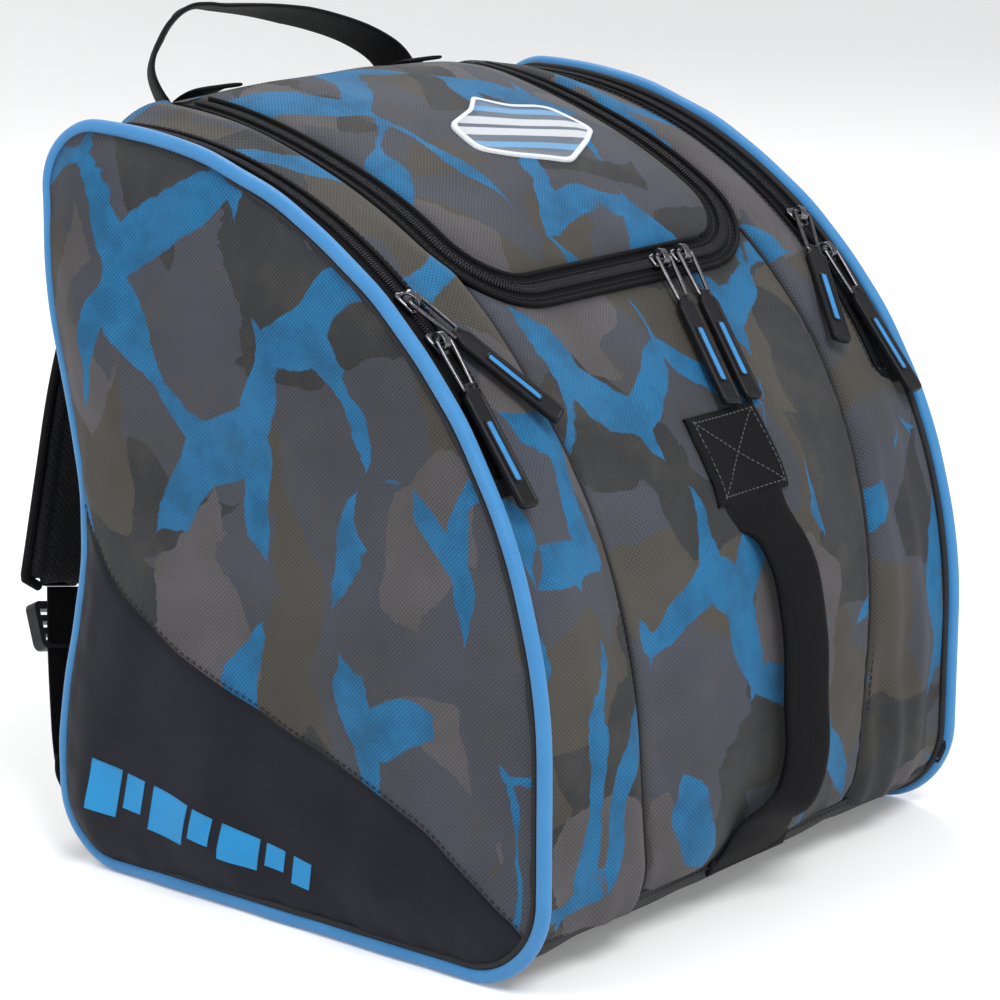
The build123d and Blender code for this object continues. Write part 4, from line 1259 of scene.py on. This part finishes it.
def slab(name, rim, layers, matrix, materials):
    # a moulded block: its outline stacked in (inset, height) steps
    t = np.roll(rim, -1, 0) - np.roll(rim, 1, 0)
    t /= np.linalg.norm(t, axis=1, keepdims=True)
    outward = np.stack([t[:, 1], -t[:, 0]], -1)
    flat = np.concatenate([np.column_stack([rim - outward * inset, np.full(len(rim), up)]) for inset, up in layers])
    n = len(rim)
    faces = gridFaces(len(layers), n, closeCols=True)
    faces += [tuple(range(n))[::-1], tuple((len(layers) - 1) * n + c for c in range(n))]
    return makeMesh(name, inFrame(matrix, flat), faces, flat[:, :2], None, materials)


pulls = {
    "names": ("lid_left", "lid_right", "left_upper", "left_lower", "right_upper", "right_lower"),
    "tilt": 6.0, "upperTilt": 4.0, "drop": 0.0044, "wire": 0.00115, "spread": 0.0046, "neck": 0.0036,
    "wireLong": 0.027, "tabEnd": 0.0890, "tabTop": 0.0240, "shoulder": 0.0305, "half": 0.0060, "thick": 0.0040,
    "slotTop": 0.044, "slotEnd": 0.076, "slotHalf": 0.0019,
}


def pullFrame(name, tilt):
    j = joints[name + "_pull_swing"]
    at = np.array(j["pos_m"], float)
    x = -np.array(j["axis"], float)
    n = np.array([0, at[1] - arcY, at[2] - arcZ])
    n /= np.linalg.norm(n)
    x -= n * (x @ n)
    x /= np.linalg.norm(x)
    y = np.cross(n, x)
    m = np.eye(4)
    c, s = math.cos(math.radians(tilt)), math.sin(math.radians(tilt))
    m[:3, 0], m[:3, 1], m[:3, 2], m[:3, 3] = x, y * c + n * s, n * c - y * s, at
    return m


def makePull(name):
    d = pulls
    flat = pullFrame(name, 0.0)
    seat = flat.copy()
    alongX = name.startswith("lid")
    n = flat[:3, 2]
    gx = np.array([1.0, 0, 0])
    gy = np.cross(n, gx)
    seat[:3, 0], seat[:3, 1] = (gx, gy) if alongX else (gy, -gx)
    seat[:3, 3] = flat[:3, 3] - n * d["drop"]
    mm = 0.001
    rim = roundedRim(np.array([(-6.5, -3.6), (-1, -4.6), (3, -5.8), (6.5, -5.0), (6.5, 5.0), (3, 5.8), (-1, 4.6),
                               (-6.5, 3.6)]) * mm,
                     np.array([1.6, 3, 2.4, 1.6, 1.6, 2.4, 3, 1.6]) * mm)
    body = slab(name + "SliderPlate", rim, np.array([(0.5, 0.3), (0.1, 0.45), (0, 0.8), (0, 1.3), (0.3, 1.75),
                                                     (1.0, 2.1), (1.9, 2.2)]) * mm,
                seat, [gunmetal])
    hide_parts(name + "_slider")
    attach(body, name + "_slider")
    arch = np.array([(0, -4.3, -2.9), (0, -4.2, -0.6), (0, -3.2, 1.2), (0, -1.4, 1.75), (0, 0, 1.85),
                     (0, 1.4, 1.75), (0, 3.2, 1.2),
                     (0, 4.2, -0.6), (0, 4.3, -2.9)]) * mm
    arch = strip(name + "SliderBridge", smoothPath(inFrame(flat, arch), 26), flat[:3, 0],
                 np.interp(np.linspace(0, 1, 26), [0, 0.5, 1], [0.0052, 0.0038, 0.0052]), 0.0012, [gunmetal])
    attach(arch, name + "_slider")
    hang = pullFrame(name, d["upperTilt"] if "upper" in name else d["tilt"])
    s, e = d["spread"], d["neck"]
    link = roundedRim([(-s, 0), (-s, -0.35 * d["wireLong"]), (-e, -d["wireLong"]), (e, -d["wireLong"]),
                       (s, -0.35 * d["wireLong"]), (s, 0)],
                      [0.0016, 0.01, 0.0015, 0.0015, 0.01, 0.0016], 8)
    link = np.column_stack([link, np.zeros(len(link))])
    wire = tube(name + "PullWire", inFrame(hang, link), d["wire"], [gunmetal], closed=True, sides=14,
                ref=hang[:3, 2])
    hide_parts(name + "_pull_wire")
    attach(wire, name + "_pull")
    h, t = d["half"], d["thick"] / 2
    neck = 0.0034
    rim = roundedRim([(-h, -d["tabEnd"]), (h, -d["tabEnd"]), (h, -d["shoulder"]), (neck, -d["shoulder"] + 0.003),
                      (neck, -d["tabTop"]),
                      (-neck, -d["tabTop"]), (-neck, -d["shoulder"] + 0.003), (-h, -d["shoulder"])],
                     [0.0034, 0.0034, 0.003, 0.003, 0.0016, 0.0016, 0.003, 0.003])
    rim = filled(rim, 0.003)
    layers = [(0.0016, -t), (0.0007, -t + 0.0001), (0.0001, -t + 0.0007), (0, -t + 0.0012), (0, t - 0.0011),
              (0.00012, t - 0.0006),
              (0.0006, t - 0.00012), (0.0012, t), (0.0017, t), (0.0019, t - 0.0004), (0.0024, t - 0.0004)]
    tab = slab(name + "PullTab", rim, layers, hang, [pullRubber])
    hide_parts(name + "_pull_tab")
    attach(tab, name + "_pull")
    w = d["slotHalf"]
    slot = roundedRim([(-w, -d["slotEnd"]), (w, -d["slotEnd"]), (w, -d["slotTop"]), (-w, -d["slotTop"])], w * 0.99,
                      8)
    ring = tube(name + "PullRim",
                inFrame(hang, np.column_stack([slot * (1.28, 1), np.full(len(slot), t - 0.0003)])), 0.00065,
                [pullRubber], closed=True, sides=10, ref=hang[:3, 2])
    inlay = slab(name + "PullInlay", slot, [(0, t - 0.0012), (0, t - 0.0004), (0.0003, t - 0.0001), (0.0008, t)],
                 hang, [pullBlue])
    for obj in (ring, inlay):
        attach(obj, name + "_pull")


for name in pulls["names"]:
    makePull(name)
print("zip pulls made")

# top handle
handle = {"width": 0.025, "thick": 0.0026, "footX": 0.0795, "footWide": 0.027, "knots": [
    (-0.090, 0.152, 0.376), (-0.096, 0.159, 0.389), (-0.096, 0.164, 0.401), (-0.086, 0.166, 0.416),
    (-0.070, 0.167, 0.4275),
    (-0.058, 0.167, 0.4300), (-0.040, 0.166, 0.4285), (-0.006, 0.164, 0.4240), (0.030, 0.161, 0.4160),
    (0.058, 0.157, 0.4060),
    (0.073, 0.152, 0.396), (0.078, 0.147, 0.386), (0.078, 0.142, 0.377)]}


def makeHandle():
    count = 120
    path = smoothPath(handle["knots"], count)
    t = np.linspace(0, 1, count)
    # which way the webbing's width lies, from its left end over its crest to its right end
    left, crest, right = (0.74, 0.66, -0.16), (0.50, 0.85, -0.14), (-0.06, 0.93, -0.36)
    lie = np.array([(0.1, 0.1, 0.1), (left[0] * 0.6, left[1], left[2]), left, crest, right, right])
    across = np.stack([np.interp(t, [0, 0.05, 0.22, 0.36, 0.62, 1], lie[:, k]) for k in range(3)], -1)
    obj = strip("topHandle", path, across, handle["width"], handle["thick"], [blackWebbing], crown=0.0006)
    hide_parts("top_handle", "handle_anchors")
    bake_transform(obj)
    for side in (-1, 1):
        foot = place(side * handle["footX"], np.linspace(sHinge + 0.004, sHinge + 0.058, 30),
                     shell["skin"] - 0.0022)
        obj = strip("handleFoot" + sideName[side].capitalize(), foot, (1, 0, 0), handle["footWide"], 0.0022,
                    [blackWebbing])
        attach(obj, "bag")


makeHandle()

# front grab strap
grab = {"patchHalf": 0.0285, "reach": 0.019, "lean": 27.0, "low": (0, -0.1661, 0.030), "high": (0, -0.1516, 0.2047),
        "fold": 0.0245, "doubled": 0.0125, "wide": 0.050, "patchLow": 0.2045, "patchHigh": 0.2455,
        "patchThick": 0.0034, "boxHalf": 0.0240, "boxIn": 0.0036, "threadIn": 0.0035}


def frontPoint(x, z, lift):
    # a point over the front's face, and its length along the outline
    inFront = (loopP[:, 0] < 0) & (loopN[:, 0] < -0.05)
    s = float(np.interp(z, loopP[inFront, 1], loopS[inFront]))
    return place(x, s, frontInset(x, s) - lift), s


def makeGrab():
    low, high = np.array(grab["low"]), np.array(grab["high"])
    line = (high - low) / np.linalg.norm(high - low)
    lean = math.radians(grab["lean"])
    out = np.array((math.sin(lean), -math.cos(lean), 0))
    out -= line * (out @ line)
    out /= np.linalg.norm(out)

    def at(share, reach):
        return low + (high - low) * share + out * grab["reach"] * reach

    top = [frontPoint(0.000, z, lift)[0] for z, lift in ((0.232, 0.0006), (0.216, 0.0008), (0.2055, 0.0016))]
    end = [frontPoint(-0.002, z, lift)[0] for z, lift in ((0.044, 0.0040), (0.034, 0.0026), (0.0240, 0.0022))]
    knots = top + [at(0.965, -0.10) + (0.004, 0, 0), at(0.90, 0.48), at(0.80, 0.90), at(0.62, 1.03),
                   at(0.45, 1.04), at(0.28, 0.93), at(0.15, 0.52)] + end
    count = 130
    path = smoothPath(knots, count)
    t = np.linspace(0, 1, count)
    s = unit(np.minimum((t - 0.10) / 0.14, (0.97 - t) / 0.17))
    s = s * s * (3 - 2 * s)
    sides = np.array((1.0, 0, 0)) * (1 - s[:, None]) + np.array((0.90, -0.42, 0.06)) * s[:, None]
    widths = grab["wide"] + (grab["fold"] - grab["wide"]) * s + 0.010 * unit((t - 0.9) / 0.08)
    thick = 0.0024 + 0.0036 * s
    path = path + 0.0008 * np.stack([ripple(t, t * 0, 0.21, 91), ripple(t, t * 0, 0.25, 92), 0 * t],
                                    -1) * s[:, None]
    obj = strip("grabStrap", path, sides, widths, thick, [blackWebbing], crown=0.0010)
    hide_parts("grab_strap", "grab_roots")
    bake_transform(obj)
    # fold line down the doubled part
    _, _, n = frames(path, sides)
    ease = unit(np.minimum(np.arange(count) - 26, 100 - np.arange(count)) / 14)
    doubled = slice(28, 98)
    fold = (path + n * (thick / 2 + 0.0012 * ease - 0.0006)[:, None])[doubled]
    back = (path - n * (thick / 2 - 0.0002 + 0.0012 * (ease - 1))[:, None])[doubled]
    outer = fold if fold[30, 1] < back[30, 1] else back
    obj = strip("grabStrapFold", outer, sides[doubled], grab["doubled"], 0.0007, [blackWebbing])
    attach(obj, "grab_strap")
    # the sewn patch
    s0, s1 = frontPoint(0, grab["patchLow"], 0)[1], frontPoint(0, grab["patchHigh"], 0)[1]
    u = np.linspace(-1, 1, 44)
    v = np.linspace(0, 1, 34)
    uu, vv = np.meshgrid(u, v)
    edge = np.minimum(1 - np.abs(uu), np.minimum(vv, 1 - vv) * 1.4)
    acrossPatch, alongPatch = uu * grab["patchHalf"] + 0.0015 * (vv - 0.5), s0 + (s1 - s0) * vv
    lift = 0.0016 + 0.0018 * unit(edge / 0.12) ** 0.5 - 0.0003 * ripple(uu * 0.03, vv * 0.03, 0.012, 95)
    p = place(acrossPatch, alongPatch, frontInset(acrossPatch, alongPatch) - lift)
    obj = clothPanel("grabPatch", p, np.stack([uu * grab["patchHalf"], vv * 0.036], -1), grab["patchThick"],
                     [blackWebbing],
                     np.exp(-edge / 0.03) * 0.6, np.array([0, -1.0, 0.2]))
    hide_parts("grab_patch")
    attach(obj, "bag")
    a, b = grab["boxHalf"], grab["boxIn"]
    box = [(-a, s0 + b), (a, s0 + b), (a, s1 - b), (-a, s1 - b)]
    lines = {0: (0, 1), 1: (1, 2), 2: (2, 3), 3: (3, 0), 4: (0, 2), 6: (3, 1)}
    for k, (i, j) in lines.items():
        q, r = box[i], box[j]
        obj = stitchRow("grabPatchStitch" + str(k), np.linspace(q, r, 24),
                        lambda x, s: frontInset(x, s) - grab["threadIn"], threadGrey,
                        pitch=0.0031, width=0.0008, length=0.0024)
        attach(obj, "bag")
    # bar where its lower end goes into the seam
    path = np.array([frontPoint(x, 0.0245, 0.0020)[0] for x in np.linspace(-0.034, 0.031, 30)])
    obj = strip("grabLowerBar", path, (0, -0.35, 0.93), 0.010, 0.0022, [blackWebbing])
    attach(obj, "bag")


makeGrab()
print("handle and grab strap made")

# shoulder straps
shoulder = {"low": (-0.146, 0.174, 0.028), "high": (-0.080, 0.174, 0.338), "reach": 0.032, "width": 0.058,
            "thick": 0.0095,
            "webWide": 0.025, "webThick": 0.0018, "binding": 0.0026,
            "knots": [(0.985, -0.35), (0.965, 0.02), (0.90, 0.46), (0.80, 0.78), (0.66, 0.99), (0.5, 1.05),
                      (0.38, 1.08), (0.315, 1.10)]}


def overRoots(obj):
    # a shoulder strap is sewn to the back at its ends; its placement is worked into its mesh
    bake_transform(obj)


def makeShoulder(side):
    name = sideName[side]
    low, high = (np.array(shoulder[k]) * (-side, 1, 1) for k in ("low", "high"))
    line = (high - low) / np.linalg.norm(high - low)
    across = np.cross(line, (0, 1.0, 0))
    across /= np.linalg.norm(across)

    def at(share, reach):
        return low + (high - low) * share + np.array((0, reach * shoulder["reach"], 0))

    count = 110
    path = smoothPath([at(*k) for k in shoulder["knots"]], count)
    t = np.linspace(0, 1, count)
    quilt = 0.0011 * np.abs(np.sin(t * 9 * math.pi)) ** 0.35
    thick = shoulder["thick"] * unit(np.minimum(t / 0.10, (1 - t) / 0.03) + 0.35) + quilt * 1.4
    width = shoulder["width"] * (0.80 + 0.20 * unit(t / 0.25)) * unit((1 - t) / 0.05 + 0.62)
    obj = strip(name + "ShoulderPad", path, across, width - 0.001, thick - 0.002, [meshCloth])
    run = lengths(path)

    def padUv(co):
        near = ((co[:, None] - path[None]) ** 2).sum(-1).argmin(1)
        return np.stack([((co - path[near]) * across).sum(1), run[near]], -1)

    inflate(obj, lambda co: np.abs(padUv(co)[:, 0]) > np.interp(padUv(co)[:, 1], run, width) / 2 - 0.007, padUv,
            lambda uv: 0.0018 * np.exp(-((np.abs(uv[:, 0]) - 0.019) / 0.0022) ** 2))
    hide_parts(name + "_shoulder_strap")
    overRoots(obj)
    _, w, n = frames(path, np.broadcast_to(across, path.shape))
    for label, sgn in (("A", -1), ("B", 1)):
        rim = path + w * (width / 2)[:, None] * sgn
        obj = tube(name + "PadBinding" + label, rim, shoulder["binding"], [blackWebbing], sides=10)
        overRoots(obj)
    out = n * np.sign(n[60, 1])
    band = (path + out * (thick / 2 + 0.0008)[:, None])[12:]
    obj = strip(name + "PadWebbing", band, across, shoulder["webWide"], shoulder["webThick"], [blackWebbing])
    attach(obj, name + "_shoulder_strap")
    tail = [at(0.315, 1.08), at(0.22, 0.90), at(0.12, 0.66), at(0.055, 0.48), at(0.020, 0.32), at(-0.010, -0.10),
            at(-0.030, -0.45)]
    obj = strip(name + "StrapWebbing", smoothPath(tail, 60), across, shoulder["webWide"], shoulder["webThick"],
                [blackWebbing])
    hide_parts(name + "_strap_webbing", name + "_strap_roots")
    overRoots(obj)
    foot = [at(0.045, 0.36), at(0.015, 0.22), at(-0.015, -0.20), at(-0.038, -0.55)]
    obj = strip(name + "StrapFoot", smoothPath(foot, 24), across, np.linspace(0.028, 0.046, 24), 0.0030,
                [blackWebbing])
    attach(obj, "bag")
    for slotItem in frame["nodes"][name + "_strap_buckle"].material_slots:
        slotItem.material = blackPlastic


def backPads():
    for side in (-1, 1):
        y0 = backY - shell["skin"]
        lo = Vector((side * 0.062 - 0.039, y0 - 0.001, 0.067))
        hi = Vector((side * 0.062 + 0.039, y0 + 0.008, 0.303))
        obj = roundPad("backPad" + sideName[side].capitalize(), lo, hi, 0.014, 0.003, [meshCloth], "bag", 1, 0.001,
                       True)
        sewn = soften(np.array([[0, y0, z] for z in np.linspace(0.05, 0.32, 60)]))
        inflate(obj, lambda co: co[:, 1] < np.interp(co[:, 2], sewn[:, 2], sewn[:, 1]) + 0.0035,
                lambda co: co[:, [0, 2]],
                lambda uv: 0.0028 * np.exp(-(((uv[:, 1] - 0.067) % 0.047 - 0.0235) / 0.0035) ** 2))
        if side < 0:
            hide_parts("back_pads")


for side in (-1, 1):
    makeShoulder(side)
backPads()
print("shoulder straps made")

# lid badge: a generic shield of slanted bands
badge = {"x": 0.0205, "angle": 68.5, "half": (0.048, 0.035), "lift": 0.0016}


def makeBadge():
    sMid = lengthAt(lambda p, n: (n[:, 1] > math.sin(math.radians(badge["angle"]))) & (p[:, 1] > arcZ))
    hx, hy = badge["half"]
    corners = np.array([(0, -1.0), (0.62, -0.62), (1.0, -0.30), (0.86, 0.42), (0.34, 0.66), (0, 1.0),
                        (-0.34, 0.66), (-0.86, 0.42), (-1.0, -0.30), (-0.62, -0.62)])
    rim = roundedRim(corners * (hx, hy), [0.006, 0.004, 0.006, 0.005, 0.004, 0.003, 0.004, 0.005, 0.006, 0.004], 6)
    rim = filled(rim, 0.0025)
    rows, rise = [], []
    for share, lift in ((1.0, -0.0006), (1.0, 0.0012), (0.985, 0.0017), (0.93, 0.0017), (0.915, 0.0013),
                        (0.75, 0.0014), (0.5, 0.0015), (0.25, 0.0015), (0.02, 0.0015)):
        rows.append(rim * share)
        rise.append(np.full(len(rim), lift))
    flat, up = np.concatenate(rows), np.concatenate(rise)
    x, s = badge["x"] + flat[:, 0], sMid + flat[:, 1]
    edge = np.minimum(lidHalf - band - np.abs(x), s - sLidFront - band)
    points = place(x, s, lidInset(x, s, edge) - up)
    n = len(rim)
    faces = gridFaces(len(rows), n, closeCols=True)
    faces.append(tuple((len(rows) - 1) * n + c for c in range(n)))
    mats = [0] * (4 * n) + [1] * (len(faces) - 4 * n)
    obj = makeMesh("lidBadge", points, faces, flat, mats, [badgeWhite, badgeFace])
    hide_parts("lid_badge")
    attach(obj, "lid")


def badgeMaterial():
    # slanted bands of thread: navy, blue and white
    mat, tree, bsdf = newMaterial("badgeFace", 0.55, sheen=0.2)
    uv = clothUv(tree)
    parts = put(tree, "ShaderNodeSeparateXYZ", {0: uv})
    lean = maths(tree, "MULTIPLY_ADD", parts.outputs[0], 0.34, parts.outputs[1])
    across = maths(tree, "MULTIPLY_ADD", lean, 1.0 / 0.062, 0.5)
    navy, blue, white, deep = (0.02, 0.05, 0.10), (0.05, 0.30, 0.60), (0.62, 0.66, 0.70), (0.03, 0.10, 0.2)
    bands = ramp(tree, across, [(0.0, navy), (0.12, blue), (0.22, navy), (0.34, white), (0.47, navy),
                                (0.53, white), (0.66, navy), (0.76, blue), (0.86, deep)])
    bands.node.color_ramp.interpolation = "CONSTANT"
    slant = maths(tree, "SUBTRACT", parts.outputs[1], parts.outputs[0])
    thread = maths(tree, "SINE", maths(tree, "MULTIPLY", slant, 9000.0))
    grain = noise(tree, uv, 1200.0, 2.0).outputs["Fac"]
    tone = maths(tree, "MULTIPLY_ADD", thread, 0.18, grain)
    tree.links.new(mixColour(tree, maths(tree, "MULTIPLY", tone, 0.5, clamp=True), bands, (0.03, 0.04, 0.06, 1)),
                   bsdf.inputs["Base Color"])
    bumpInto(tree, bsdf, tone, 0.5, 0.0004)
    return mat


badgeFace = badgeMaterial()
makeBadge()

# slanted bars printed on the lower side panels
bars = {"lean": 0.22, "lift": 0.0003, "gap": 0.0050, "back": 0.134, "front": -0.012,
        "top": (0.0625, 0.0385), "low": (0.0345, 0.0240),
        "widths": (0.020, 0.012, 0.026, 0.014, 0.024, 0.012, 0.012)}


def printedBars(side):
    d = bars
    y = d["back"]
    for k, wide in enumerate(d["widths"]):
        u, v = np.meshgrid(np.linspace(0, 1, 16), np.linspace(0, 1, 14))
        yy = y - u * wide
        share = (d["back"] - yy) / (d["back"] - d["front"])
        low = d["low"][0] + (d["low"][1] - d["low"][0]) * share
        high = d["top"][0] + (d["top"][1] - d["top"][0]) * share
        if k % 2:
            low = low + 0.25 * (high - low)
        zz = low + (high - low) * v
        yy = yy - (zz - low) * d["lean"]
        p, _ = sideSurface(side, yy, zz)
        p[..., 0] += side * (d["lift"] - 0.0006)
        name = sideName[side] + "Bar" + str(k)
        obj = clothPanel(name, p, np.stack([yy, zz], -1), 0.0006, [printBlue], None, np.array([side, 0, 0.0]))
        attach(obj, "bag")
        y -= wide + d["gap"]


for side in (-1, 1):
    printedBars(side)
print("badge and bars made")

# soft dividers inside
divider = {"low": 0.063, "high": 0.1105, "bend": (0.205, 0.288), "edge": 0.0064, "thick": 0.0024}


def makeDivider(side):
    d = divider
    name = sideName[side]
    y, low, high = shellColumns(64, d["edge"])
    t = np.linspace(0, 1, 70)
    zz = low[None] + (high - low)[None] * t[:, None]
    yy = np.broadcast_to(y[None], zz.shape)
    x = np.interp(zz, [0, d["bend"][0], d["bend"][1], 0.5], [d["low"], d["low"], d["high"], d["high"]])
    roof = np.array([loopS[np.hypot(*(loopP - spot).T).argmin()] for spot in np.stack([y, high], -1)])
    zz = zz + crown(d["high"], roof) * t[:, None] ** 3
    calm = unit(np.minimum(t, 1 - t)[:, None] / 0.08)
    p = soften(np.stack([side * (x + 0.0025 * ripple(yy, zz, 0.09, 101) * calm), yy, zz], -1))
    obj = clothPanel(name + "Divider", p, np.stack([yy, zz], -1), d["thick"], [liningCloth], None,
                     np.array([side, 0, 0.0]))
    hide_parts(name + "_divider")
    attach(obj, "bag")


for side in (-1, 1):
    makeDivider(side)
print("inside made")

# camera
camera = {"azimuth": -51.1, "elevation": 14.0, "roll": 0.18, "lens": 122.7,
          "place": (-1.3405, -1.0700, 0.6098)}


def addCamera():
    data = bpy.data.cameras.new("camera")
    data.lens, data.sensor_width = camera["lens"], 36.0
    obj = bpy.data.objects.new("camera", data)
    bpy.context.scene.collection.objects.link(obj)
    a, e = math.radians(camera["azimuth"]), math.radians(camera["elevation"])
    ahead = Vector((-math.sin(a) * math.cos(e), math.cos(a) * math.cos(e), -math.sin(e)))
    turn = ahead.to_track_quat("-Z", "Y").to_matrix().to_4x4()
    roll = Matrix.Rotation(math.radians(camera["roll"]), 4, "Z")
    obj.matrix_world = Matrix.Translation(camera["place"]) @ turn @ roll
    bpy.context.scene.camera = obj


lamps = {
    "key": ((-0.7, -1.5, 2.3), 1.3, 45.0), "fill": ((-0.95, 0.25, 1.15), 0.8, 4.2),
    "rim": ((1.4, 1.2, 2.0), 1.2, 22.0), "front": ((0.9, -2.2, 0.7), 1.4, 7.0),
}


def addLights():
    for name, (spot, size, power) in lamps.items():
        data = bpy.data.lights.new(name, "AREA")
        data.shape, data.size, data.energy = "DISK", size, power
        obj = bpy.data.objects.new(name, data)
        bpy.context.scene.collection.objects.link(obj)
        obj.location = spot
        obj.rotation_mode = "QUATERNION"
        obj.rotation_quaternion = (Vector((0, 0, 0.2)) - Vector(spot)).to_track_quat("-Z", "Y")
    world = bpy.data.worlds.new("studio")
    bpy.context.scene.world = world
    world.use_nodes = True
    world.node_tree.nodes["Background"].inputs[0].default_value = (0.98, 0.99, 1.0, 1)
    world.node_tree.nodes["Background"].inputs[1].default_value = 0.62
    bpy.context.scene.view_settings.view_transform = "Standard"


def addFloor():
    size, curve = 6.0, 1.6
    pts = [(-size, y, 0.0) for y in np.linspace(-size, 2.2, 12)]
    pts += [(-size, 2.2 + curve * math.sin(a),
             curve * (1 - math.cos(a))) for a in np.linspace(0.1, math.pi / 2, 10)]
    pts += [(-size, 2.2 + curve, z) for z in (3.0, 5.0)]
    a = np.array(pts)
    b = a * (-1, 1, 1)
    obj = makeMesh("floor", np.stack([a, b], 1).reshape(-1, 3), gridFaces(len(pts), 2))
    mat, _, bsdf = newMaterial("paleFloor", 0.9)
    bsdf.inputs["Base Color"].default_value = (0.90, 0.90, 0.90, 1)
    bsdf.inputs["Emission Color"].default_value = (1, 1, 1, 1)
    bsdf.inputs["Emission Strength"].default_value = 0.14
    obj.data.materials.append(mat)


addCamera()
addLights()
addFloor()
